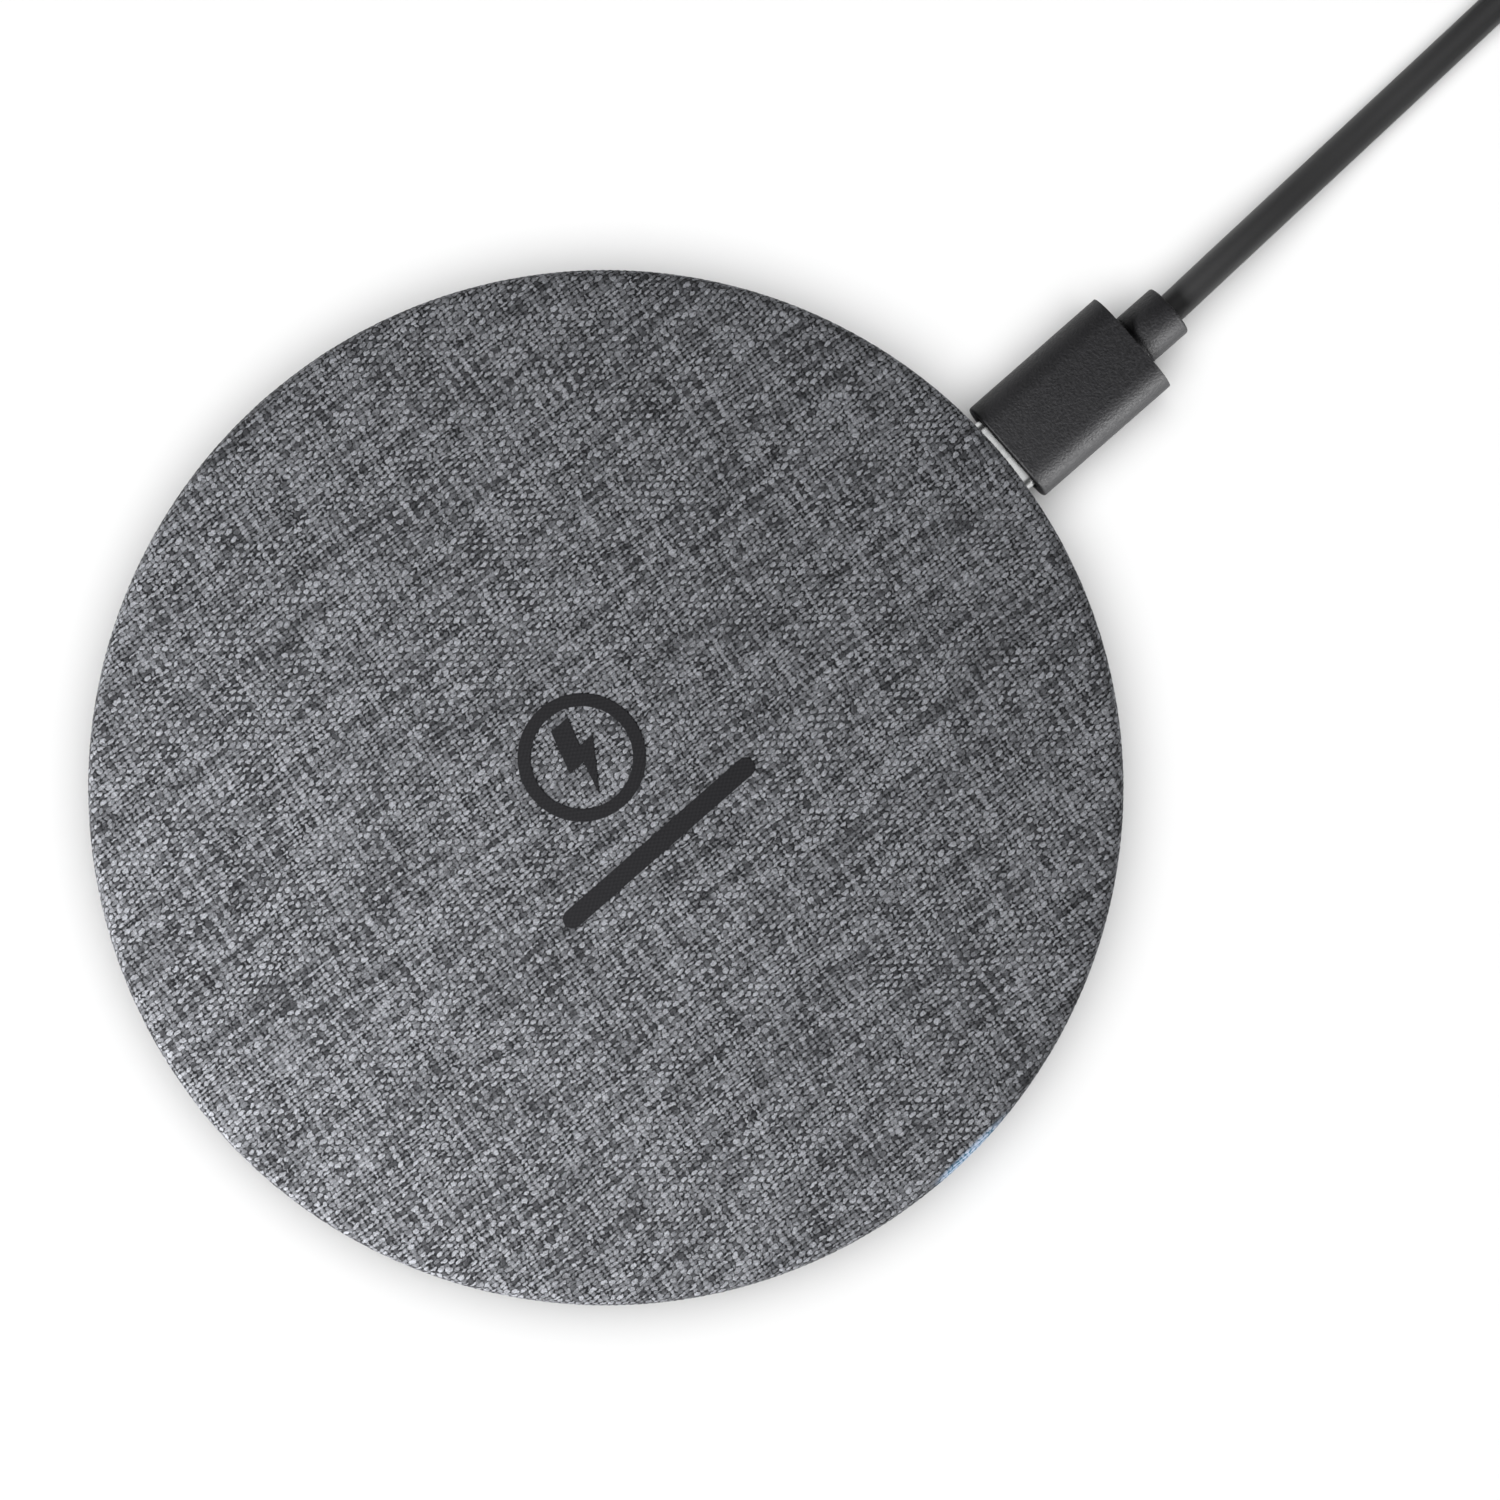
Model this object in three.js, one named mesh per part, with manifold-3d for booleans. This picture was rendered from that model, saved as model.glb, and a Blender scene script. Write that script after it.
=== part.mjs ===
// A round, cloth-covered wireless charging pad with its USB cable plugged in.
//
// Millimetres. The origin is the middle of the pad's footprint, on the surface it stands on.
// +X runs from the pad's middle out along the plug and cable, and +Z is up.

import * as THREE from 'three';
import { mergeVertices } from 'three/addons/utils/BufferGeometryUtils.js';
import Module from 'manifold-3d';

const wasm = await Module();
wasm.setup();

// ---------------------------------------------------------------- driving dimensions

// Pad body
const PAD_RADIUS = 50;
const PAD_HEIGHT = 8.5;
const PAD_STEPS = 72;
const ROUND_STEPS = 40;
const SHOULDER_RADIUS = 1.6;
const CLOTH_THICKNESS = 0.7;
const HEM_HEIGHT = 2.5;
const HEM_WIDTH = 2;
const CLOTH_GAP = 0.1;
const FIT_GAP = 0.3;
const CONTACT_GAP = 0.05;
const SEAM_GAP = 0.02;

// Shells
const RIM_THICKNESS = 1.3;
const PLATE_THICKNESS = 1.4;
const WALL_THICKNESS = 1.4;
const BASE_UNDERSIDE = 0.8;
const FLOOR_TOP = 2.4;
const BASE_CHAMFER = 1;

// Foot ring and the groove that holds it
const FOOT_INNER = 37;
const FOOT_OUTER = 45;
const FOOT_TOP = 1.55;
const FOOT_GROOVE_TOP = 1.6;
const FOOT_SIDE_GAP = 0.1;
const FOOT_CHAMFER = 0.25;

// USB-C port
const PORT_Y = -1.15;
const PORT_Z = 4.4;
const PORT_MOUTH_X = 49.5;
const RECEPTACLE_LENGTH = 7.3;
const RECEPTACLE_WIDTH = 9;
const RECEPTACLE_HEIGHT = 3.2;
const RECEPTACLE_WALL = 0.25;
const TONGUE_WIDTH = 6.7;
const TONGUE_THICKNESS = 0.7;

// USB-C plug, fully pushed in
const PLUG_TIP_X = 44.05;
const PLUG_BODY_X = 50.7;
const PLUG_BODY_END_X = 66.9;
const PLUG_BODY_WIDTH = 11.2;
const PLUG_BODY_HEIGHT = 6.4;
const PLUG_BODY_ROUNDING = 2.7;
const PLUG_SHELL_WIDTH = 8.25;
const PLUG_SHELL_HEIGHT = 2.4;
const PLUG_SHELL_WALL = 0.2;
const RELIEF_END_X = 71.8;
const RELIEF_DIAMETER = 5.55;
const RELIEF_NECK_DIAMETER = 5.3;
const RELIEF_NECK_LENGTH = 0.7;

// Cable
const CABLE_DIAMETER = 3.1;
const CABLE_SIDES = 4;
const COIL_CENTRE = [134.02, 22.47];
const COIL_MEAN_RADIUS = 17;
const COIL_COLUMNS = 4;
const COIL_LAYERS = 2;
const COIL_LIFT = 0.65;
const TIE_THICKNESS = 0.6;
const TIE_WIDTH = 4;

// The cable's free stretches, as hand-laid points: from the plug to the coil,
// and from the coil to the USB-A plug.
const RUN_ROUTE = [
  [72.1, -1.14, 4.4],
  [76, -1.02, 4.38],
  [80, -0.89, 4.2],
  [84, -0.77, 3.75],
  [88, -0.64, 3.1],
  [92, -0.52, 2.45],
  [96, -0.39, 1.95],
  [100, -0.26, 1.65],
  [104, -0.14, 1.57],
  [109, 0.02, 1.56],
  [114, 0.18, 1.57],
  [118.5, 0.32, 1.62],
  [122.6, 0.45, 1.75],
];
const TAIL_ROUTE = [
  [138.8, -2.15, 5.2],
  [143.5, -2.05, 4.4],
  [148, -2.1, 3.5],
  [152.6, -2.9, 2.7],
  [156.7, -5.26, 2.1],
  [159.7, -8.85, 1.72],
  [161.3, -13.26, 1.57],
  [161.3, -17.94, 1.56],
  [159.7, -22.35, 1.62],
  [156.7, -25.94, 1.95],
  [152.6, -28.3, 2.7],
  [148, -29.1, 3.5],
  [143.3, -29.1, 4.02],
];

// USB-A plug, measured from the end where the cable enters it
const USB_A_ORIGIN = [143, -29.1, 4.02];
const USB_A_RELIEF_LENGTH = 5;
const USB_A_BODY_LENGTH = 23;
const USB_A_BODY_WIDTH = 15.8;
const USB_A_BODY_HEIGHT = 8;
const USB_A_SHELL_WIDTH = 12;
const USB_A_SHELL_HEIGHT = 4.5;
const USB_A_SHELL_LENGTH = 11.75;
const USB_A_SHELL_WALL = 0.3;

// Light window for the status LED
const LIGHT_ANGLE = -87.4;
const LIGHT_HALF_ANGLE = 5.4;
const LIGHT_BOTTOM = 4;
const LIGHT_TOP = 6.1;

// Electronics
const BOARD_INNER = 28.5;
const BOARD_OUTER = 45.6;
const BOARD_START = -116;
const BOARD_END = 33;
const BOARD_BOTTOM = 3.3;
const BOARD_THICKNESS = 1;
const COIL_WINDING_INNER = 10;
const COIL_WINDING_OUTER = 22;
const FERRITE_RADIUS = 26;
const LEAD_RADIUS = 0.55;

// Fasteners
const BASE_SCREW_RADIUS = 41;
const BASE_SCREW_ANGLES = [55, 145, 235, 325];
const BOARD_SCREW_RADIUS = 33;
const BOARD_SCREW_ANGLES = [-108, 24];
const SCREW_HEAD_RADIUS = 1.9;
const SCREW_HEAD_HEIGHT = 1.1;
const SCREW_SHANK_RADIUS = 0.9;
const SCREW_PILOT_GAP = 0.1;
const SCREW_CLEAR_GAP = 0.3;
const BASE_SCREW_SHANK = 3.7;
const BASE_SCREW_BOTTOM = 1.85;
const BOARD_SCREW_SHANK = 2.6;

// Marks pressed into the cloth: a ring round a lightning bolt, and a plain bar
const MARK_CENTRE = [0.2, 3.7];
const MARK_RADIUS = 6.2;
const MARK_RING_WIDTH = 1.25;
const MARK_BOLT_HEIGHT = 7.6;
const MARK_BAR_CENTRE = [0.36, -7.4];
const MARK_BAR_LENGTH = 24;
const MARK_BAR_WIDTH = 1.9;
const MARK_THICKNESS = 0.12;
const MARK_SUNK = 0.06;
const MARK_SIDE_GAP = 0.1;

// ---------------------------------------------------------------- derived dimensions

const SHELL_RADIUS = PAD_RADIUS - CLOTH_THICKNESS - CLOTH_GAP;
const SHELL_TOP = PAD_HEIGHT - CLOTH_THICKNESS - CLOTH_GAP;
const PLATE_UNDERSIDE = SHELL_TOP - PLATE_THICKNESS;
const RIM_BOTTOM = HEM_HEIGHT + CLOTH_THICKNESS;
const RIM_INNER = SHELL_RADIUS - RIM_THICKNESS;
const WALL_OUTER = RIM_INNER - FIT_GAP;
const WALL_INNER = WALL_OUTER - WALL_THICKNESS;
const WALL_TOP = PLATE_UNDERSIDE - FIT_GAP;
const BASE_RADIUS = PAD_RADIUS - 0.6;
const MARK_BOTTOM = PAD_HEIGHT - MARK_SUNK + 0.01;
const BOARD_TOP = BOARD_BOTTOM + BOARD_THICKNESS;
const COIL_RADIAL_HALF = (COIL_COLUMNS * CABLE_DIAMETER) / 2 + CONTACT_GAP;
const COIL_TOP = COIL_LIFT + COIL_LAYERS * CABLE_DIAMETER + CONTACT_GAP;
const FERRITE_BOTTOM = 4.1;
const FERRITE_TOP = 4.9;
const WINDING_BOTTOM = FERRITE_TOP + 2 * CONTACT_GAP;
const WINDING_TOP = 6.1;
const TAPE_GAP = 0.03;

// ---------------------------------------------------------------- materials

function finish(color, roughness, metalness = 0) {
  return new THREE.MeshStandardMaterial({ color, roughness, metalness });
}

const CLOTH = finish(0x6b6c70, 0.95);
const MARK_FILM = finish(0x2b2b2d, 0.6);
const BLACK_PLASTIC = finish(0x1d1d1f, 0.55);
const BLACK_SILICONE = finish(0x232325, 0.8);
const CLEAR_BLUE = finish(0x7fb8e0, 0.2);
const PLUG_PLASTIC = finish(0x343436, 0.6);
const CABLE_JACKET = finish(0x3a3a3a, 0.5);
const STEEL = finish(0xbfc1c4, 0.28, 1);
const COPPER = finish(0xb06a3c, 0.4, 1);
const GOLD = finish(0xd0a860, 0.3, 1);
const FERRITE = finish(0x3d3b3c, 0.7);
const TAPE = finish(0xd8c88a, 0.5);
const SOLDER_MASK = finish(0x14502c, 0.45);
const CHIP = finish(0x17171a, 0.5);
const CAPACITOR = finish(0xa88a66, 0.5);
const LED_BODY = finish(0xe8e8e2, 0.35);

// ---------------------------------------------------------------- geometry helpers

const X_AXIS = new THREE.Vector3(1, 0, 0);
const Y_AXIS = new THREE.Vector3(0, 1, 0);
const Z_AXIS = new THREE.Vector3(0, 0, 1);

function radians(degrees) {
  return (degrees * Math.PI) / 180;
}

function polar(radius, degrees) {
  const angle = radians(degrees);
  return [radius * Math.cos(angle), radius * Math.sin(angle)];
}

// Points of a round corner in a (radius, height) profile, both ends included.
function arc(centreR, centreZ, radius, fromDegrees, toDegrees, steps = 5) {
  const points = [];
  for (let i = 0; i <= steps; i += 1) {
    const [r, z] = polar(radius, fromDegrees + ((toDegrees - fromDegrees) * i) / steps);
    points.push([centreR + r, centreZ + z]);
  }
  return points;
}

// A profile turned about Z. It runs outwards along the bottom and back along the top.
function revolve(profile, steps) {
  const points = profile.map(([r, z]) => new THREE.Vector2(r, z));
  const geometry = new THREE.LatheGeometry(points, steps);
  geometry.rotateX(Math.PI / 2);
  return geometry;
}

// A ring's profile closes on itself.
function revolveRing(profile, steps) {
  return revolve([...profile, profile[0]], steps);
}

function revolveAboutX(profile, steps) {
  const geometry = revolve(profile, steps);
  geometry.rotateY(Math.PI / 2);
  return geometry;
}

function disc(radius, bottom, top, steps) {
  return revolve([[0, bottom], [radius, bottom], [radius, top], [0, top]], steps);
}

function annulus(inner, outer, bottom, top) {
  return revolveRing([[inner, bottom], [outer, bottom], [outer, top], [inner, top]], ROUND_STEPS);
}

function post(x, y, radius, bottom, top, steps = 12) {
  const geometry = disc(radius, bottom, top, steps);
  geometry.translate(x, y, 0);
  return geometry;
}

function box(low, high) {
  const size = high.map((value, i) => value - low[i]);
  const geometry = new THREE.BoxGeometry(...size);
  geometry.translate(...low.map((value, i) => value + size[i] / 2));
  return geometry;
}

function roundedRect(width, height, radius, path = new THREE.Shape()) {
  const x = width / 2 - radius;
  const y = height / 2 - radius;
  path.absarc(x, y, radius, 0, Math.PI / 2);
  path.absarc(-x, y, radius, Math.PI / 2, Math.PI);
  path.absarc(-x, -y, radius, Math.PI, 1.5 * Math.PI);
  path.absarc(x, -y, radius, 1.5 * Math.PI, 2 * Math.PI);
  return path;
}

function roundedTube(width, height, radius, wall) {
  const shape = roundedRect(width, height, radius);
  const inner = new THREE.Path();
  roundedRect(width - 2 * wall, height - 2 * wall, radius - wall, inner);
  shape.holes.push(inner);
  return shape;
}

function extrudeUp(shape, bottom, top, curveSegments = 3) {
  const options = { depth: top - bottom, bevelEnabled: false, curveSegments };
  const geometry = new THREE.ExtrudeGeometry(shape, options);
  geometry.translate(0, 0, bottom);
  return geometry;
}

// The outline's x and y become Y and Z, and the extrusion runs along X.
function extrudeAlongX(shape, from, to, curveSegments = 4) {
  const geometry = extrudeUp(shape, from, to, curveSegments);
  geometry.applyMatrix4(new THREE.Matrix4().makeBasis(Y_AXIS, Z_AXIS, X_AXIS));
  return geometry;
}

// As extrudeAlongX, with both ends rounded over.
function roundedBarAlongX(width, height, radius, from, to, edge) {
  const geometry = new THREE.ExtrudeGeometry(roundedRect(width, height, radius), {
    depth: to - from - 2 * edge,
    bevelThickness: edge,
    bevelSize: edge,
    bevelOffset: -edge,
    bevelSegments: 3,
    curveSegments: 4,
  });
  geometry.translate(0, 0, from + edge);
  geometry.applyMatrix4(new THREE.Matrix4().makeBasis(Y_AXIS, Z_AXIS, X_AXIS));
  return geometry;
}

function tubeAlong(route, radius, steps) {
  const points = route.map((point) => new THREE.Vector3(...point));
  const section = new THREE.Shape();
  section.absarc(0, 0, radius, 0, 2 * Math.PI);
  return new THREE.ExtrudeGeometry(section, {
    steps,
    curveSegments: CABLE_SIDES,
    bevelEnabled: false,
    extrudePath: new THREE.CatmullRomCurve3(points),
  });
}

function annularSector(inner, outer, startDegrees, endDegrees) {
  const shape = new THREE.Shape();
  shape.absarc(0, 0, outer, radians(startDegrees), radians(endDegrees), false);
  shape.absarc(0, 0, inner, radians(endDegrees), radians(startDegrees), true);
  return shape;
}

// ---------------------------------------------------------------- joining and cutting

function toSolid(geometry) {
  const bare = geometry.clone();
  bare.deleteAttribute('normal');
  bare.deleteAttribute('uv');
  const merged = mergeVertices(bare);
  const index = merged.index.array;
  const triangles = [];
  for (let i = 0; i < index.length; i += 3) {
    const [a, b, c] = index.slice(i, i + 3);
    if (a !== b && b !== c && c !== a) {
      triangles.push(a, b, c);
    }
  }
  return new wasm.Manifold(new wasm.Mesh({
    numProp: 3,
    vertProperties: merged.attributes.position.array,
    triVerts: new Uint32Array(triangles),
  }));
}

function toGeometry(solid) {
  const mesh = solid.getMesh();
  const geometry = new THREE.BufferGeometry();
  geometry.setAttribute('position', new THREE.BufferAttribute(mesh.vertProperties, 3));
  geometry.setIndex(new THREE.BufferAttribute(mesh.triVerts, 1));
  geometry.computeVertexNormals();
  return geometry;
}

function join(...geometries) {
  return toGeometry(geometries.map(toSolid).reduce((sum, next) => sum.add(next)));
}

function cut(geometry, ...tools) {
  return toGeometry(tools.map(toSolid).reduce((rest, tool) => rest.subtract(tool), toSolid(geometry)));
}

// ---------------------------------------------------------------- scene helpers

const assembly = new THREE.Group();

function addPart(name, geometry, material, parent = assembly) {
  const mesh = new THREE.Mesh(geometry, material);
  mesh.name = name;
  parent.add(mesh);
  return mesh;
}

function addGroup(x, y, z, turnDegrees = 0) {
  const group = new THREE.Group();
  group.position.set(x, y, z);
  group.rotation.z = radians(turnDegrees);
  assembly.add(group);
  return group;
}

// ---------------------------------------------------------------- openings in the pad's side

const PORT_CLEARANCE = 0.35;
const PORT_HALF_WIDTH = RECEPTACLE_WIDTH / 2 + PORT_CLEARANCE;

function portOpening(from, to) {
  const width = 2 * PORT_HALF_WIDTH + 0.4;
  const height = RECEPTACLE_HEIGHT + 2 * PORT_CLEARANCE + 0.2;
  const geometry = extrudeAlongX(roundedRect(width, height, height / 2), from, to);
  geometry.translate(0, PORT_Y, PORT_Z);
  return geometry;
}

function portNotch(from, to, bottom, top) {
  return box(
    [from, PORT_Y - PORT_HALF_WIDTH, bottom],
    [to, PORT_Y + PORT_HALF_WIDTH, top],
  );
}

function lightNotch(inner, outer, bottom, top) {
  const margin = 0.45;
  const start = LIGHT_ANGLE - LIGHT_HALF_ANGLE - margin;
  const end = LIGHT_ANGLE + LIGHT_HALF_ANGLE + margin;
  return extrudeUp(annularSector(inner, outer, start, end), bottom, top);
}

// ---------------------------------------------------------------- cloth cover and mark

function clothCover() {
  const shoulderR = PAD_RADIUS - SHOULDER_RADIUS;
  const shoulderZ = PAD_HEIGHT - SHOULDER_RADIUS;
  const innerRounding = SHOULDER_RADIUS - CLOTH_THICKNESS;
  const hemTop = HEM_HEIGHT + CLOTH_THICKNESS - CLOTH_GAP;
  const hemRounding = 0.5;
  const skin = revolve([
    [0, PAD_HEIGHT - CLOTH_THICKNESS],
    ...arc(shoulderR, shoulderZ, innerRounding, 90, 0, 2),
    [PAD_RADIUS - CLOTH_THICKNESS, hemTop],
    [PAD_RADIUS - HEM_WIDTH, hemTop],
    [PAD_RADIUS - HEM_WIDTH, HEM_HEIGHT],
    ...arc(PAD_RADIUS - hemRounding, HEM_HEIGHT + hemRounding, hemRounding, -90, 0, 2),
    ...arc(shoulderR, shoulderZ, SHOULDER_RADIUS, 0, 90, 5),
    [0, PAD_HEIGHT],
  ], PAD_STEPS);
  return cut(skin, portOpening(RIM_INNER - 2, PAD_RADIUS + 1), ...markHollows());
}

// The cloth is pressed flat where the film lies.
function markHollows() {
  const floor = PAD_HEIGHT - MARK_SUNK;
  const round = post(...MARK_CENTRE, MARK_RADIUS + MARK_SIDE_GAP, floor, PAD_HEIGHT + 1, ROUND_STEPS);
  const bar = extrudeUp(markBarOutline(MARK_SIDE_GAP), floor, PAD_HEIGHT + 1);
  bar.translate(...MARK_BAR_CENTRE, 0);
  return [round, bar];
}

function markRing() {
  return annulus(MARK_RADIUS - MARK_RING_WIDTH, MARK_RADIUS, MARK_BOTTOM, MARK_BOTTOM + MARK_THICKNESS);
}

// A plain lightning bolt, as on any charging symbol, with corners as shares of its height.
function markBolt() {
  const corners = [
    [-0.08, 0.5], [-0.25, -0.06], [-0.02, -0.06], [-0.14, -0.5], [0.3, 0.13], [0.08, 0.13], [0.2, 0.5],
  ];
  const points = corners.map(([x, y]) => new THREE.Vector2(x, y).multiplyScalar(MARK_BOLT_HEIGHT));
  return extrudeUp(new THREE.Shape(points), MARK_BOTTOM, MARK_BOTTOM + MARK_THICKNESS);
}

function markBarOutline(grow) {
  const width = MARK_BAR_WIDTH + 2 * grow;
  return roundedRect(MARK_BAR_LENGTH + 2 * grow, width, width / 2);
}

function markBar() {
  return extrudeUp(markBarOutline(0), MARK_BOTTOM, MARK_BOTTOM + MARK_THICKNESS);
}

// ---------------------------------------------------------------- shells and foot

function topShell() {
  const shoulder = 0.8;
  const cup = revolve([
    [0, PLATE_UNDERSIDE],
    [RIM_INNER, PLATE_UNDERSIDE],
    [RIM_INNER, RIM_BOTTOM],
    [SHELL_RADIUS, RIM_BOTTOM],
    ...arc(SHELL_RADIUS - shoulder, SHELL_TOP - shoulder, shoulder, 0, 90, 2),
    [0, SHELL_TOP],
  ], PAD_STEPS);
  const bossRadius = 2.5;
  const bossBottom = 4.1;
  const holeRadius = SCREW_SHANK_RADIUS + SCREW_PILOT_GAP;
  const holeTop = 6.9;
  const bosses = BASE_SCREW_ANGLES.map((angle) => (
    post(...polar(BASE_SCREW_RADIUS, angle), bossRadius, bossBottom, PLATE_UNDERSIDE + 0.2)
  ));
  const holes = BASE_SCREW_ANGLES.map((angle) => (
    post(...polar(BASE_SCREW_RADIUS, angle), holeRadius, bossBottom - 1, holeTop)
  ));
  const notchTop = PLATE_UNDERSIDE - CONTACT_GAP;
  return cut(
    join(cup, ...bosses),
    ...holes,
    portNotch(RIM_INNER - 1, PAD_RADIUS, RIM_BOTTOM - 1, notchTop),
    lightNotch(RIM_INNER - 0.5, PAD_RADIUS, RIM_BOTTOM - 1, notchTop),
  );
}

function bottomShell() {
  const grooveInner = FOOT_INNER - FOOT_SIDE_GAP;
  const grooveOuter = FOOT_OUTER + FOOT_SIDE_GAP;
  const tray = revolve([
    [0, BASE_UNDERSIDE],
    [grooveInner, BASE_UNDERSIDE],
    [grooveInner, FOOT_GROOVE_TOP],
    [grooveOuter, FOOT_GROOVE_TOP],
    [grooveOuter, BASE_UNDERSIDE],
    ...arc(BASE_RADIUS - BASE_CHAMFER, BASE_UNDERSIDE + BASE_CHAMFER, BASE_CHAMFER, -90, 0, 3),
    [BASE_RADIUS, FLOOR_TOP],
    [WALL_OUTER, FLOOR_TOP],
    [WALL_OUTER, WALL_TOP],
    [WALL_INNER, WALL_TOP],
    [WALL_INNER, FLOOR_TOP],
    [0, FLOOR_TOP],
  ], PAD_STEPS);

  // Posts start inside the floor, so that they join it.
  const rooted = FLOOR_TOP - 0.3;
  const bossRadius = 3.3;
  const bossTop = 3.9;
  const seat = BASE_SCREW_BOTTOM + SCREW_HEAD_HEIGHT + 0.15;
  const bosses = BASE_SCREW_ANGLES.map((angle) => (
    post(...polar(BASE_SCREW_RADIUS, angle), bossRadius, rooted, bossTop)
  ));
  const counterbores = BASE_SCREW_ANGLES.map((angle) => (
    post(...polar(BASE_SCREW_RADIUS, angle), SCREW_HEAD_RADIUS + SCREW_CLEAR_GAP, FOOT_GROOVE_TOP - 1, seat)
  ));
  const clearHoles = BASE_SCREW_ANGLES.map((angle) => (
    post(...polar(BASE_SCREW_RADIUS, angle), SCREW_SHANK_RADIUS + SCREW_CLEAR_GAP, seat - 0.6, bossTop + 0.6)
  ));

  const standoffRadius = 2.3;
  const standoffTop = BOARD_BOTTOM - CONTACT_GAP;
  const standoffHoleRadius = SCREW_SHANK_RADIUS + SCREW_PILOT_GAP;
  const standoffHoleBottom = 1.3;
  const standoffs = BOARD_SCREW_ANGLES.map((angle) => (
    post(...polar(BOARD_SCREW_RADIUS, angle), standoffRadius, rooted, standoffTop)
  ));
  const standoffHoles = BOARD_SCREW_ANGLES.map((angle) => (
    post(...polar(BOARD_SCREW_RADIUS, angle), standoffHoleRadius, standoffHoleBottom, standoffTop + 1)
  ));

  const restSteps = 8;
  const boardRests = [-80, -50, -8].map((angle) => (
    post(...polar(BOARD_SCREW_RADIUS, angle), 1.2, rooted, standoffTop, restSteps)
  ));
  const ferriteRests = [30, 120, 210, 300].map((angle) => (
    post(...polar(20, angle), 1.5, rooted, FERRITE_BOTTOM - CONTACT_GAP, restSteps)
  ));

  return cut(
    join(tray, ...bosses, ...standoffs, ...boardRests, ...ferriteRests),
    ...counterbores,
    ...clearHoles,
    ...standoffHoles,
    portNotch(WALL_INNER - 1, RIM_INNER, FLOOR_TOP + 0.1, WALL_TOP + 1),
    lightNotch(WALL_INNER - 1, RIM_INNER, LIGHT_BOTTOM - 0.2, WALL_TOP + 1),
  );
}

function footRing() {
  return revolveRing([
    [FOOT_INNER + FOOT_CHAMFER, 0],
    [FOOT_OUTER - FOOT_CHAMFER, 0],
    [FOOT_OUTER, FOOT_CHAMFER],
    [FOOT_OUTER, FOOT_TOP],
    [FOOT_INNER, FOOT_TOP],
    [FOOT_INNER, FOOT_CHAMFER],
  ], PAD_STEPS);
}

function lightPipe() {
  const start = LIGHT_ANGLE - LIGHT_HALF_ANGLE;
  const end = LIGHT_ANGLE + LIGHT_HALF_ANGLE;
  const shape = annularSector(WALL_INNER - 0.3, SHELL_RADIUS - 0.05, start, end);
  return extrudeUp(shape, LIGHT_BOTTOM, LIGHT_TOP);
}

// ---------------------------------------------------------------- fasteners

// Pan head with a cross recess. The head faces down, and the shank runs up from it.
function screw(shankLength) {
  const dome = 0.25;
  const pointLength = 0.6;
  const pointRadius = 0.3;
  const tip = SCREW_HEAD_HEIGHT + shankLength;
  const body = revolve([
    [0, 0],
    [SCREW_HEAD_RADIUS - dome, 0],
    [SCREW_HEAD_RADIUS, dome],
    [SCREW_HEAD_RADIUS, SCREW_HEAD_HEIGHT],
    [SCREW_SHANK_RADIUS, SCREW_HEAD_HEIGHT],
    [SCREW_SHANK_RADIUS, tip - pointLength],
    [pointRadius, tip],
    [0, tip],
  ], 12);
  const slotHalf = 0.25;
  const slotReach = 1.1;
  const slotDepth = 0.6;
  return cut(
    body,
    box([-slotReach, -slotHalf, -1], [slotReach, slotHalf, slotDepth]),
    box([-slotHalf, -slotReach, -1], [slotHalf, slotReach, slotDepth]),
  );
}

function addScrews() {
  BASE_SCREW_ANGLES.forEach((angle, i) => {
    const [x, y] = polar(BASE_SCREW_RADIUS, angle);
    const mesh = addPart(`base_screw_${i + 1}`, screw(BASE_SCREW_SHANK), STEEL);
    mesh.position.set(x, y, BASE_SCREW_BOTTOM);
  });
  BOARD_SCREW_ANGLES.forEach((angle, i) => {
    const [x, y] = polar(BOARD_SCREW_RADIUS, angle);
    const mesh = addPart(`board_screw_${i + 1}`, screw(BOARD_SCREW_SHANK), STEEL);
    mesh.position.set(x, y, BOARD_TOP + CONTACT_GAP + SCREW_HEAD_HEIGHT);
    mesh.rotation.x = Math.PI;
  });
}

// ---------------------------------------------------------------- charging coil

const LEAD_SLOT_ANGLE = -42;
const LEAD_SLOT_START = 7.6;
const LEAD_SLOT_HALF_WIDTH = 0.95;

function ferriteShield() {
  const slot = box(
    [LEAD_SLOT_START, -LEAD_SLOT_HALF_WIDTH, 0],
    [FERRITE_RADIUS + 1, LEAD_SLOT_HALF_WIDTH, PAD_HEIGHT],
  );
  slot.rotateZ(radians(LEAD_SLOT_ANGLE));
  return cut(disc(FERRITE_RADIUS, FERRITE_BOTTOM, FERRITE_TOP, ROUND_STEPS), slot);
}

// A lead laid along one radius, from (radius, height) points.
function radialLead(degrees, profile) {
  const route = profile.map(([r, z]) => [...polar(r, degrees), z]);
  return tubeAlong(route, LEAD_RADIUS, 16);
}

function addCoil() {
  const winding = annulus(COIL_WINDING_INNER, COIL_WINDING_OUTER, WINDING_BOTTOM, WINDING_TOP);
  const tape = annulus(
    COIL_WINDING_INNER, COIL_WINDING_OUTER, WINDING_TOP + TAPE_GAP, PLATE_UNDERSIDE - TAPE_GAP,
  );
  addPart('charging_coil', winding, COPPER);
  addPart('coil_adhesive', tape, TAPE);
  addPart('ferrite_shield', ferriteShield(), FERRITE);
  const outerLead = [[22.5, 5.55], [24.5, 5.55], [27, 5.4], [29, 5.05], [31.5, 4.92]];
  const innerLead = [
    [8.6, 5.6], [8.7, 4.95], [9.8, 4.35], [14, 4.28], [20, 4.28], [25.4, 4.32], [28, 5], [31.5, 4.95],
  ];
  addPart('coil_lead_outer', radialLead(-30, outerLead), COPPER);
  addPart('coil_lead_inner', radialLead(LEAD_SLOT_ANGLE, innerLead), COPPER);
}

// ---------------------------------------------------------------- circuit board

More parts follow.
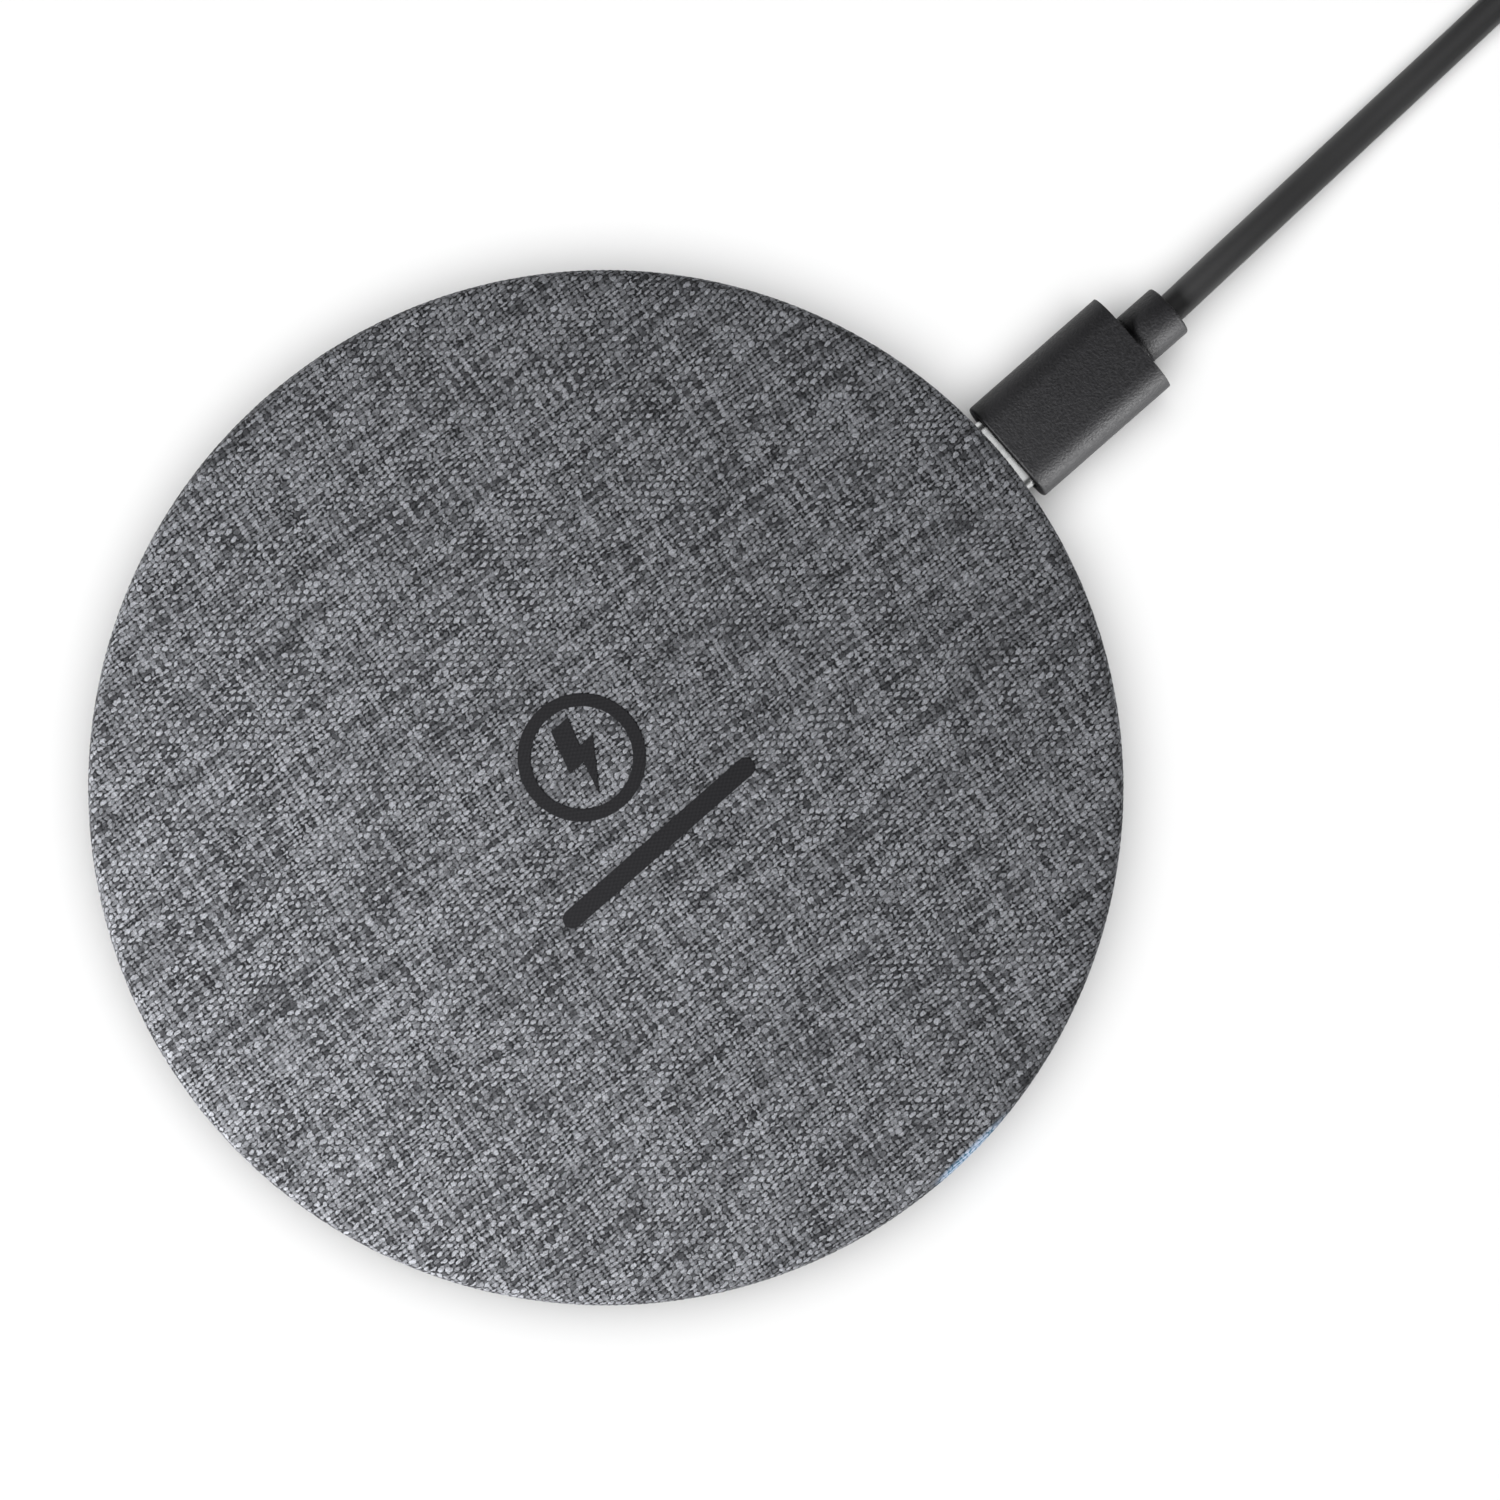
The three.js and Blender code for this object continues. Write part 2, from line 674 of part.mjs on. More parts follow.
function mainBoard() {
  const sector = annularSector(BOARD_INNER, BOARD_OUTER, BOARD_START, BOARD_END);
  const board = extrudeUp(sector, BOARD_BOTTOM, BOARD_TOP, 14);
  const portRear = PORT_MOUTH_X - RECEPTACLE_LENGTH - FIT_GAP;
  const screwHoles = BOARD_SCREW_ANGLES.map((angle) => (
    post(...polar(BOARD_SCREW_RADIUS, angle), SCREW_SHANK_RADIUS + SCREW_CLEAR_GAP, 0, PAD_HEIGHT)
  ));
  // The board clears the base screw boss that stands in its way.
  const bossAngle = BASE_SCREW_ANGLES[3];
  const bossClear = 3.8;
  const bossNotch = box([BASE_SCREW_RADIUS, -bossClear, 0], [PAD_RADIUS, bossClear, PAD_HEIGHT]);
  bossNotch.rotateZ(radians(bossAngle));
  return cut(
    board,
    ...screwHoles,
    post(...polar(BASE_SCREW_RADIUS, bossAngle), bossClear, 0, PAD_HEIGHT),
    bossNotch,
    portNotch(portRear, PAD_RADIUS, 0, PAD_HEIGHT),
  );
}

// A flat block on the board, at (radius, angle), with its length across the radius.
function addComponent(name, material, radius, degrees, [across, along, height], rounding = 0.2) {
  const [x, y] = polar(radius, degrees);
  const group = addGroup(x, y, BOARD_TOP + CONTACT_GAP, degrees);
  addPart(name, extrudeUp(roundedRect(along, across, rounding), 0, height, 1), material, group);
}

function addBoard() {
  addPart('main_board', mainBoard(), SOLDER_MASK);
  addComponent('controller_chip', CHIP, 38.5, -62, [6, 6, 0.9]);
  addComponent('power_stage_chip', CHIP, 35.5, -18, [5, 5, 0.9]);
  addComponent('filter_inductor', CHIP, 35.5, -1, [6, 6, 1.7], 1.2);
  addComponent('input_capacitor', CAPACITOR, 38.5, 13, [3.2, 2.5, 1.6]);
  for (let i = 0; i < 4; i += 1) {
    addComponent(`resonant_capacitor_${i + 1}`, CAPACITOR, 33, -62 - 6.5 * (i - 1.5), [3, 2.4, 1.6]);
  }
  addComponent('thermistor', LED_BODY, 30.5, -92, [1.6, 0.8, 0.8]);
  for (let i = 0; i < 2; i += 1) {
    const offset = 5.6 * (i - 0.5);
    addComponent(`indicator_led_${i + 1}`, LED_BODY, 44.6, LIGHT_ANGLE + offset, [2.8, 1.2, 1.1]);
  }
}

// ---------------------------------------------------------------- USB-C port

function addReceptacle() {
  const port = addGroup(0, PORT_Y, PORT_Z);
  const rear = PORT_MOUTH_X - RECEPTACLE_LENGTH;
  const rounding = RECEPTACLE_HEIGHT / 2;
  const tube = roundedTube(RECEPTACLE_WIDTH, RECEPTACLE_HEIGHT, rounding, RECEPTACLE_WALL);
  addPart('usb_c_receptacle_shell', extrudeAlongX(tube, rear, PORT_MOUTH_X), STEEL, port);

  const blockWidth = RECEPTACLE_WIDTH - 2 * RECEPTACLE_WALL - 2 * CONTACT_GAP;
  const blockHeight = RECEPTACLE_HEIGHT - 2 * RECEPTACLE_WALL - 2 * CONTACT_GAP;
  const block = extrudeAlongX(
    roundedRect(blockWidth, blockHeight, blockHeight / 2), rear + 0.1, PLUG_TIP_X - FIT_GAP,
  );
  const tongue = box(
    [rear + 0.5, -TONGUE_WIDTH / 2, -TONGUE_THICKNESS / 2],
    [PORT_MOUTH_X - 0.9, TONGUE_WIDTH / 2, TONGUE_THICKNESS / 2],
  );
  addPart('usb_c_receptacle_tongue', join(block, tongue), CHIP, port);
}

// ---------------------------------------------------------------- USB-C plug

function addUsbCPlug() {
  const plug = addGroup(0, PORT_Y, PORT_Z);
  const shellEnd = PLUG_BODY_X + 1.6;
  const rounding = PLUG_SHELL_HEIGHT / 2;
  const tube = roundedTube(PLUG_SHELL_WIDTH, PLUG_SHELL_HEIGHT, rounding, PLUG_SHELL_WALL);
  addPart('usb_c_plug_shell', extrudeAlongX(tube, PLUG_TIP_X, shellEnd), STEEL, plug);

  const linerGap = PLUG_SHELL_WALL + CONTACT_GAP;
  const linerHeight = PLUG_SHELL_HEIGHT - 2 * linerGap;
  const liner = extrudeAlongX(
    roundedRect(PLUG_SHELL_WIDTH - 2 * linerGap, linerHeight, linerHeight / 2),
    PLUG_TIP_X + 0.1, shellEnd - 0.1,
  );
  const slotMargin = 0.15;
  const slot = box(
    [PLUG_TIP_X - 1, -TONGUE_WIDTH / 2 - slotMargin, -TONGUE_THICKNESS / 2 - slotMargin],
    [PORT_MOUTH_X, TONGUE_WIDTH / 2 + slotMargin, TONGUE_THICKNESS / 2 + slotMargin],
  );
  addPart('usb_c_plug_insert', cut(liner, slot), CHIP, plug);

  const body = roundedBarAlongX(
    PLUG_BODY_WIDTH, PLUG_BODY_HEIGHT, PLUG_BODY_ROUNDING, PLUG_BODY_X, PLUG_BODY_END_X, 0.5,
  );
  const pocketHeight = PLUG_SHELL_HEIGHT + 2 * FIT_GAP;
  const pocket = extrudeAlongX(
    roundedRect(PLUG_SHELL_WIDTH + 2 * FIT_GAP, pocketHeight, pocketHeight / 2),
    PLUG_BODY_X - 1, shellEnd + FIT_GAP,
  );
  addPart('usb_c_overmold', cut(body, pocket), PLUG_PLASTIC, plug);

  const reliefStart = PLUG_BODY_END_X + SEAM_GAP;
  const relief = strainRelief(RELIEF_END_X - reliefStart);
  relief.translate(reliefStart, 0, 0);
  addPart('usb_c_strain_relief', relief, PLUG_PLASTIC, plug);
}

// A short sleeve with a narrower neck at the plug and a rounded end at the cable.
function strainRelief(length) {
  const radius = RELIEF_DIAMETER / 2;
  const neckRadius = RELIEF_NECK_DIAMETER / 2;
  const rounding = 0.5;
  return revolveAboutX([
    [0, 0],
    [neckRadius, 0],
    [neckRadius, RELIEF_NECK_LENGTH],
    [radius, RELIEF_NECK_LENGTH + 0.1],
    ...arc(radius - rounding, length - rounding, rounding, 0, 90, 3),
    [0, length],
  ], 20);
}

// ---------------------------------------------------------------- cable

function coilRing() {
  const inner = COIL_MEAN_RADIUS - COIL_RADIAL_HALF;
  const outer = COIL_MEAN_RADIUS + COIL_RADIAL_HALF;
  const rounding = CABLE_DIAMETER / 2;
  return revolveRing([
    ...arc(inner + rounding, COIL_LIFT + rounding, rounding, 180, 270, 2),
    ...arc(outer - rounding, COIL_LIFT + rounding, rounding, 270, 360, 2),
    ...arc(outer - rounding, COIL_TOP - rounding, rounding, 0, 90, 2),
    ...arc(inner + rounding, COIL_TOP - rounding, rounding, 90, 180, 2),
  ], ROUND_STEPS);
}

// A strap looped round the coil's turns. The coil lies on it.
function cableTie() {
  const width = 2 * (COIL_RADIAL_HALF + FIT_GAP + TIE_THICKNESS);
  const height = COIL_TOP + FIT_GAP + TIE_THICKNESS;
  const geometry = extrudeUp(roundedTube(width, height, 1.5, TIE_THICKNESS), -TIE_WIDTH / 2, TIE_WIDTH / 2, 2);
  geometry.applyMatrix4(new THREE.Matrix4().makeBasis(X_AXIS, Z_AXIS, Y_AXIS.clone().negate()));
  geometry.translate(0, 0, height / 2);
  return geometry;
}

function addCable() {
  addPart('cable_run', tubeAlong(RUN_ROUTE, CABLE_DIAMETER / 2, 9), CABLE_JACKET);
  addPart('cable_tail', tubeAlong(TAIL_ROUTE, CABLE_DIAMETER / 2, 14), CABLE_JACKET);
  const coil = addGroup(...COIL_CENTRE, 0);
  addPart('cable_coil', coilRing(), CABLE_JACKET, coil);
  [1, -1].forEach((side, i) => {
    const tie = addPart(`cable_tie_${i + 1}`, cableTie(), BLACK_SILICONE, coil);
    tie.position.x = side * COIL_MEAN_RADIUS;
  });
}

// ---------------------------------------------------------------- USB-A plug

function usbAShell(from, to) {
  const tube = extrudeAlongX(
    roundedTube(USB_A_SHELL_WIDTH, USB_A_SHELL_HEIGHT, 0.5, USB_A_SHELL_WALL), from, to, 1,
  );
  const windowY = 2.8;
  const windowHalfWidth = 1.1;
  const windows = [-windowY, windowY].map((y) => box(
    [to - 7, y - windowHalfWidth, -USB_A_SHELL_HEIGHT],
    [to - 5, y + windowHalfWidth, USB_A_SHELL_HEIGHT],
  ));
  return cut(tube, ...windows);
}

function addUsbAPlug() {
  const plug = addGroup(...USB_A_ORIGIN, 180);
  const bodyStart = USB_A_RELIEF_LENGTH + SEAM_GAP;
  const bodyEnd = USB_A_RELIEF_LENGTH + USB_A_BODY_LENGTH;
  const tip = bodyEnd + USB_A_SHELL_LENGTH;
  const shellStart = bodyEnd - 1.2;

  const relief = strainRelief(USB_A_RELIEF_LENGTH);
  relief.rotateZ(Math.PI);
  relief.translate(USB_A_RELIEF_LENGTH, 0, 0);
  addPart('usb_a_strain_relief', relief, PLUG_PLASTIC, plug);

  const body = roundedBarAlongX(USB_A_BODY_WIDTH, USB_A_BODY_HEIGHT, 2.7, bodyStart, bodyEnd, 0.5);
  const pocket = box(
    [shellStart - FIT_GAP, -USB_A_SHELL_WIDTH / 2 - FIT_GAP, -USB_A_SHELL_HEIGHT / 2 - FIT_GAP],
    [bodyEnd + 1, USB_A_SHELL_WIDTH / 2 + FIT_GAP, USB_A_SHELL_HEIGHT / 2 + FIT_GAP],
  );
  addPart('usb_a_overmold', cut(body, pocket), PLUG_PLASTIC, plug);
  addPart('usb_a_shell', usbAShell(shellStart, tip), STEEL, plug);

  const halfWidth = USB_A_SHELL_WIDTH / 2 - USB_A_SHELL_WALL - 0.1;
  const halfHeight = USB_A_SHELL_HEIGHT / 2 - USB_A_SHELL_WALL - CONTACT_GAP;
  const insert = join(
    box([shellStart, -halfWidth, -halfHeight], [bodyEnd + 1.5, halfWidth, halfHeight]),
    box([shellStart, -halfWidth, -halfHeight], [tip - 0.4, halfWidth, 0]),
  );
  addPart('usb_a_insert', insert, CHIP, plug);

  // The outer two contacts reach further, so that power meets before data.
  const contactHalf = 0.5;
  const contactTop = 0.2;
  [-3.5, -1, 1, 3.5].forEach((y, i) => {
    const contactTip = Math.abs(y) > 2 ? tip - 1 : tip - 2;
    const contact = box(
      [bodyEnd + 1.6, y - contactHalf, SEAM_GAP],
      [contactTip, y + contactHalf, contactTop],
    );
    addPart(`usb_a_contact_${i + 1}`, contact, GOLD, plug);
  });
}

// ---------------------------------------------------------------- assembly

function addPadBody() {
  addPart('fabric_cover', clothCover(), CLOTH);
  const mark = addGroup(...MARK_CENTRE, 0);
  addPart('mark_ring', markRing(), MARK_FILM, mark);
  addPart('mark_bolt', markBolt(), MARK_FILM, mark);
  addPart('mark_bar', markBar(), MARK_FILM, addGroup(...MARK_BAR_CENTRE, 0));
  addPart('top_shell', topShell(), BLACK_PLASTIC);
  addPart('bottom_shell', bottomShell(), BLACK_PLASTIC);
  addPart('foot_ring', footRing(), BLACK_SILICONE);
  addPart('light_pipe', lightPipe(), CLEAR_BLUE);
}

addPadBody();
addScrews();
addCoil();
addBoard();
addReceptacle();
addUsbCPlug();
addCable();
addUsbAPlug();

export default assembly;
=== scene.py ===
"""Looks for a cloth-covered wireless charging pad with its USB cable plugged in.

Metres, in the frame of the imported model: the origin is the middle of the pad's footprint on the
floor, +X runs out along the plug and cable, +Z is up.
"""

import math

import bmesh
import bpy
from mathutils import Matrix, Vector


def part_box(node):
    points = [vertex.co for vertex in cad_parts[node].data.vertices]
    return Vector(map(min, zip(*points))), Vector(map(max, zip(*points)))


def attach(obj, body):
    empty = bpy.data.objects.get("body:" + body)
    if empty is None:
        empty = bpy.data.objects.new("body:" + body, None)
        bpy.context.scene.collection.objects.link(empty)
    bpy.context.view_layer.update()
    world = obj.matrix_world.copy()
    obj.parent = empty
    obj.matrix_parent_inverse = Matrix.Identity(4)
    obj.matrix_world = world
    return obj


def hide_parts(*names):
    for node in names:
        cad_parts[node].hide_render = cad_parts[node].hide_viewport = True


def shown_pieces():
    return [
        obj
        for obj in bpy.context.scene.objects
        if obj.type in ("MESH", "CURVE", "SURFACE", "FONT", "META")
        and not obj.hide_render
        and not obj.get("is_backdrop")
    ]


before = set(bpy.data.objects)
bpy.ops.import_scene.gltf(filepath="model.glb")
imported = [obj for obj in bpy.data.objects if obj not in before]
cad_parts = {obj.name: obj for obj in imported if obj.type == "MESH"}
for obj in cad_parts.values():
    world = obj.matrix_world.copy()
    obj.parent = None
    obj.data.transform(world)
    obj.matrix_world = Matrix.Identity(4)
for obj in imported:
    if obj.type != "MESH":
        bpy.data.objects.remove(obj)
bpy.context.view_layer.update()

MM = 0.001


# ------------------------------------------------------------------ sizes from the frame

cloth_low, cloth_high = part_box("fabric_cover")
PAD_RADIUS = cloth_high.x
PAD_TOP = cloth_high.z
HEM_BOTTOM = cloth_low.z
SHOULDER = 1.2 * MM
CLOTH_THICKNESS = 0.7 * MM
HEM_WIDTH = 2.0 * MM
HEM_ROUNDING = 0.5 * MM

plug_low, plug_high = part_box("usb_c_overmold")
relief_low, relief_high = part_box("usb_c_strain_relief")
PORT_Y = (plug_low.y + plug_high.y) / 2
PORT_Z = (plug_low.z + plug_high.z) / 2

# The status light sits behind the cloth at the pad's -Y side.
LIGHT_ANGLE = math.radians(-86.6)


# ------------------------------------------------------------------ camera

# Straight above, turned so that +X points up and to the right in the view.
CAMERA_TURN = math.radians(41.24)
VIEW_CENTRE = (12.87 * MM, -6.44 * MM)
VIEW_PLANE = 6 * MM
VIEW_WIDTH = 145.4 * MM
CAMERA_DISTANCE = 0.4
SENSOR_WIDTH = 36


def make_camera():
    data = bpy.data.cameras.new("camera")
    data.sensor_width = SENSOR_WIDTH
    data.lens = SENSOR_WIDTH * CAMERA_DISTANCE / VIEW_WIDTH
    data.clip_start = 0.01
    data.clip_end = 10
    camera = bpy.data.objects.new("camera", data)
    camera.location = (*VIEW_CENTRE, VIEW_PLANE + CAMERA_DISTANCE)
    camera.rotation_euler = (0, 0, -CAMERA_TURN)
    bpy.context.scene.collection.objects.link(camera)
    bpy.context.scene.camera = camera


make_camera()


# ------------------------------------------------------------------ node helpers


class Shader:
    """A material's node tree, built with short calls. Numbers and sockets mix freely."""

    def __init__(self, name):
        self.material = bpy.data.materials.new(name)
        self.material.use_nodes = True
        self.tree = self.material.node_tree
        self.principled = self.tree.nodes["Principled BSDF"]
        self.coordinates = self.tree.nodes.new("ShaderNodeTexCoord")

    def put(self, value, socket):
        if isinstance(value, bpy.types.NodeSocket):
            self.tree.links.new(value, socket)
        else:
            socket.default_value = value

    def set(self, **values):
        """Puts values or sockets on the Principled shader, with _ for a space in a socket's name."""
        for name, value in values.items():
            self.put(value, self.principled.inputs[name.replace("_", " ")])

    def object_point(self):
        return self.coordinates.outputs["Object"]

    def math(self, operation, a, b=0.0, c=0.0, clamp=False):
        node = self.tree.nodes.new("ShaderNodeMath")
        node.operation = operation
        node.use_clamp = clamp
        for value, socket in zip((a, b, c), node.inputs):
            self.put(value, socket)
        return node.outputs[0]

    def vector_math(self, operation, a, b=(0, 0, 0)):
        node = self.tree.nodes.new("ShaderNodeVectorMath")
        node.operation = operation
        self.put(a, node.inputs[0])
        self.put(b, node.inputs[1])
        return node.outputs["Value" if operation in ("DOT_PRODUCT", "LENGTH") else "Vector"]

    def combine(self, x, y, z=0.0):
        node = self.tree.nodes.new("ShaderNodeCombineXYZ")
        for value, socket in zip((x, y, z), node.inputs):
            self.put(value, socket)
        return node.outputs[0]

    def separate(self, vector):
        node = self.tree.nodes.new("ShaderNodeSeparateXYZ")
        self.put(vector, node.inputs[0])
        return node.outputs

    def noise(self, vector, scale, detail=2.0, roughness=0.5):
        node = self.tree.nodes.new("ShaderNodeTexNoise")
        self.put(vector, node.inputs["Vector"])
        node.inputs["Scale"].default_value = scale
        node.inputs["Detail"].default_value = detail
        node.inputs["Roughness"].default_value = roughness
        return node.outputs["Fac"]

    def white_noise(self, vector):
        node = self.tree.nodes.new("ShaderNodeTexWhiteNoise")
        self.put(vector, node.inputs["Vector"])
        return node.outputs["Value"]

    def cells(self, vector, scale):
        node = self.tree.nodes.new("ShaderNodeTexVoronoi")
        self.put(vector, node.inputs["Vector"])
        node.inputs["Scale"].default_value = scale
        return node.outputs["Distance"]

    def remap(self, value, low, high, to_low=0.0, to_high=1.0, smooth=True):
        node = self.tree.nodes.new("ShaderNodeMapRange")
        node.interpolation_type = "SMOOTHSTEP" if smooth else "LINEAR"
        for number, socket in zip((value, low, high, to_low, to_high), node.inputs):
            self.put(number, socket)
        return node.outputs[0]

    def mix(self, factor, a, b):
        """Mixes two colours, each a socket or (r, g, b)."""
        node = self.tree.nodes.new("ShaderNodeMix")
        node.data_type = "RGBA"
        self.put(factor, node.inputs["Factor"])
        for value, name in ((a, "A"), (b, "B")):
            socket = next(s for s in node.inputs if s.name == name and s.type == "RGBA")
            self.put(value if isinstance(value, bpy.types.NodeSocket) else (*value, 1), socket)
        return next(s for s in node.outputs if s.type == "RGBA")

    def scale_colour(self, colour, factor):
        """Multiplies a colour by a number."""
        node = self.tree.nodes.new("ShaderNodeVectorMath")
        node.operation = "SCALE"
        self.put(colour, node.inputs[0])
        self.put(factor, node.inputs["Scale"])
        return node.outputs["Vector"]

    def bump(self, height, distance):
        node = self.tree.nodes.new("ShaderNodeBump")
        node.inputs["Distance"].default_value = distance
        self.put(height, node.inputs["Height"])
        self.set(Normal=node.outputs[0])


# ------------------------------------------------------------------ mesh helpers


def add_mesh(name, vertices, faces, smooth_angle=35):
    mesh = bpy.data.meshes.new(name)
    mesh.from_pydata(vertices, [], faces)
    mesh.validate()
    piece = bpy.data.objects.new(name, mesh)
    bpy.context.scene.collection.objects.link(piece)
    fix_normals(piece)
    smooth(piece, smooth_angle)
    return piece


def fix_normals(piece):
    edit = bmesh.new()
    edit.from_mesh(piece.data)
    bmesh.ops.remove_doubles(edit, verts=edit.verts, dist=1e-7)
    bmesh.ops.recalc_face_normals(edit, faces=edit.faces)
    edit.to_mesh(piece.data)
    edit.free()


def smooth(piece, angle):
    """Smooth shading, with edges sharper than the angle (in degrees) kept crisp."""
    mesh = piece.data
    mesh.polygons.foreach_set("use_smooth", [True] * len(mesh.polygons))
    edit = bmesh.new()
    edit.from_mesh(mesh)
    for edge in edit.edges:
        faces = edge.link_faces
        sharp = len(faces) == 2 and faces[0].normal.angle(faces[1].normal, 0) > math.radians(angle)
        edge.smooth = not sharp
    edit.to_mesh(mesh)
    edit.free()


def rings_to_mesh(name, rings, smooth_angle=35):
    """A closed surface through rings of equal length. A ring of one point is a pole."""
    vertices = []
    starts = []
    for ring in rings:
        starts.append(len(vertices))
        vertices.extend(ring)
    faces = []
    for (a, ring_a), (b, ring_b) in zip(zip(starts, rings), list(zip(starts, rings))[1:]):
        count = max(len(ring_a), len(ring_b))
        for i in range(count):
            j = (i + 1) % count
            if len(ring_a) == 1:
                faces.append((a, b + j, b + i))
            elif len(ring_b) == 1:
                faces.append((a + i, a + j, b))
            else:
                faces.append((a + i, a + j, b + j, b + i))
    return add_mesh(name, vertices, faces, smooth_angle)


def corner(centre_r, centre_z, radius, start, end, steps):
    """Points of a round corner in a (radius, height) profile, angles in degrees."""
    points = []
    for i in range(steps + 1):
        angle = math.radians(start + (end - start) * i / steps)
        points.append((centre_r + radius * math.cos(angle), centre_z + radius * math.sin(angle)))
    return points


def rounded_rectangle(width, height, radius, corner_steps=12):
    """Points of a rounded rectangle about the origin, anticlockwise."""
    points = []
    for quarter in range(4):
        side_x = 1 if quarter in (0, 3) else -1
        side_y = 1 if quarter in (0, 1) else -1
        centre_x = side_x * (width / 2 - radius)
        centre_y = side_y * (height / 2 - radius)
        for i in range(corner_steps + 1):
            angle = math.radians(90 * quarter + 90 * i / corner_steps)
            points.append((centre_x + radius * math.cos(angle), centre_y + radius * math.sin(angle)))
    return points


def section_ring(x, width, height, radius, origin, facing=1):
    """A rounded rectangle across X. Facing -1 points the piece the other way along X."""
    outline = rounded_rectangle(width, height, min(radius, width / 2, height / 2))
    return [(origin[0] + facing * x, origin[1] + facing * y, origin[2] + z) for y, z in outline]


def assign(piece, material):
    piece.data.materials.clear()
    piece.data.materials.append(material)


def settle(piece, body, slot, material, *nodes):
    """Gives a piece its material and its body, and hides the CAD nodes that it stands for. Its slot is not
    used.
    """
    assign(piece, material)
    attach(piece, body)
    if nodes:
        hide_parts(*nodes)
    return piece


# ------------------------------------------------------------------ cable

CABLE_DIAMETER = 3.1 * MM
# How far back along X the cable's ends lie, from the sleeve's end and from the far plug's origin.
CABLE_SETBACK = 0.8 * MM
ENTRY_TURN = 1.8
COIL_CENTRE = (134.02 * MM, 22.47 * MM)
COIL_MEAN_RADIUS = 17 * MM
COIL_LIFT = 0.65 * MM
COIL_COLUMNS = 4
POINTS_PER_TURN = 24

# The same points as in the CAD source, in millimetres here and scaled below.
RUN_ROUTE = [
    (72.1, -1.14, 4.4),
    (76, -1.02, 4.38),
    (80, -0.89, 4.2),
    (84, -0.77, 3.75),
    (88, -0.64, 3.1),
    (92, -0.52, 2.45),
    (96, -0.39, 1.95),
    (100, -0.26, 1.65),
    (104, -0.14, 1.57),
    (109, 0.02, 1.56),
    (114, 0.18, 1.57),
    (118.5, 0.32, 1.62),
    (122.6, 0.45, 1.75),
]
TAIL_ROUTE = [
    (138.8, -2.15, 5.2),
    (143.5, -2.05, 4.4),
    (148, -2.1, 3.5),
    (152.6, -2.9, 2.7),
    (156.7, -5.26, 2.1),
    (159.7, -8.85, 1.72),
    (161.3, -13.26, 1.57),
    (161.3, -17.94, 1.56),
    (159.7, -22.35, 1.62),
    (156.7, -25.94, 1.95),
    (152.6, -28.3, 2.7),
    (148, -29.1, 3.5),
    (143.3, -29.1, 4.02),
]
USB_A_ORIGIN = (143 * MM, -29.1 * MM, 4.02 * MM)

# Where each turn lies: (column from the inside, layer). The cord goes inwards along the bottom
# layer, steps up, and comes back outwards along the top layer. The last place is the way out.
COIL_PLACES = [(3, 0), (2, 0), (1, 0), (0, 0), (0, 1), (1, 1), (2, 1), (3, 1), (4, 1)]
SHIFT_START = 300
STEP_UP_BULGE = 1.13 * MM


def coil_place(place):
    column, layer = place
    radius = COIL_MEAN_RADIUS + (column - (COIL_COLUMNS - 1) / 2) * CABLE_DIAMETER
    height = COIL_LIFT + (layer + 0.5) * CABLE_DIAMETER
    return radius, height


def coil_points():
    """The wound part: each turn keeps its place, and moves to the next over its last 60 degrees."""
    points = []
    for here, there in zip(COIL_PLACES, COIL_PLACES[1:]):
        radius_a, height_a = coil_place(here)
        radius_b, height_b = coil_place(there)
        bulge = STEP_UP_BULGE if here[1] != there[1] else 0
        for i in range(POINTS_PER_TURN):
            degrees = 360 * i / POINTS_PER_TURN
            share = max(0.0, (degrees - SHIFT_START) / (360 - SHIFT_START))
            share = share * share * (3 - 2 * share)
            radius = radius_a + (radius_b - radius_a) * share - bulge * math.sin(math.pi * share)
            height = height_a + (height_b - height_a) * share
            points.append(coil_point(radius, height, degrees))
    points.append(coil_point(*coil_place(COIL_PLACES[-1]), 360))
    return points


def coil_point(radius, height, degrees):
    angle = math.radians(degrees - 90 + ENTRY_TURN)
    x = COIL_CENTRE[0] + radius * math.cos(angle)
    y = COIL_CENTRE[1] + radius * math.sin(angle)
    return (x, y, height)


def make_cable():
    start = Vector((relief_high.x - CABLE_SETBACK, PORT_Y, PORT_Z))
    end = Vector(USB_A_ORIGIN) - Vector((CABLE_SETBACK, 0, 0))
    points = [start]
    points += [Vector(p) * MM for p in RUN_ROUTE]
    points += [Vector(p) for p in coil_points()]
    points += [Vector(p) * MM for p in TAIL_ROUTE]
    points.append(end)

    curve = bpy.data.curves.new("cable", "CURVE")
    curve.dimensions = "3D"
    curve.bevel_depth = CABLE_DIAMETER / 2
    curve.bevel_resolution = 6
    curve.resolution_u = 4
    curve.use_fill_caps = True
    spline = curve.splines.new("BEZIER")
    spline.bezier_points.add(len(points) - 1)
    for knot, point in zip(spline.bezier_points, points):
        knot.co = point
        knot.handle_left_type = "AUTO"
        knot.handle_right_type = "AUTO"
    cable = bpy.data.objects.new("cable", curve)
    bpy.context.scene.collection.objects.link(cable)
    return cable


cable = make_cable()


# ------------------------------------------------------------------ materials

PITCH_ALONG_Y = 0.436 * MM
PITCH_ALONG_X = 0.625 * MM
WEFT_ACROSS = math.radians(86.1)
WARP_ACROSS = math.radians(-7.5)
LIGHT_YARN = (0.25, 0.256, 0.275)
DARK_YARN = (0.038, 0.039, 0.043)
# The colour that the weave's low parts are mixed towards: painted shade in the gaps between yarns.
GAP_SHADE = (0.006, 0.006, 0.0075)
GLOW_TEAL = (0.08, 0.27, 0.44)
GLOW_PALE = (0.50, 0.64, 0.88)

# A yarn's half width from its thinnest to its thickest, in yarn pitches.
YARN_HALF_WIDTHS = (0.2, 0.66)
# How far the yarns wander, in yarn pitches: in long bends, in short bends, and as ragged edges.
SLOW_DRIFT = 2.4
QUICK_DRIFT = 0.9
RAGGED_DRIFT = 0.7
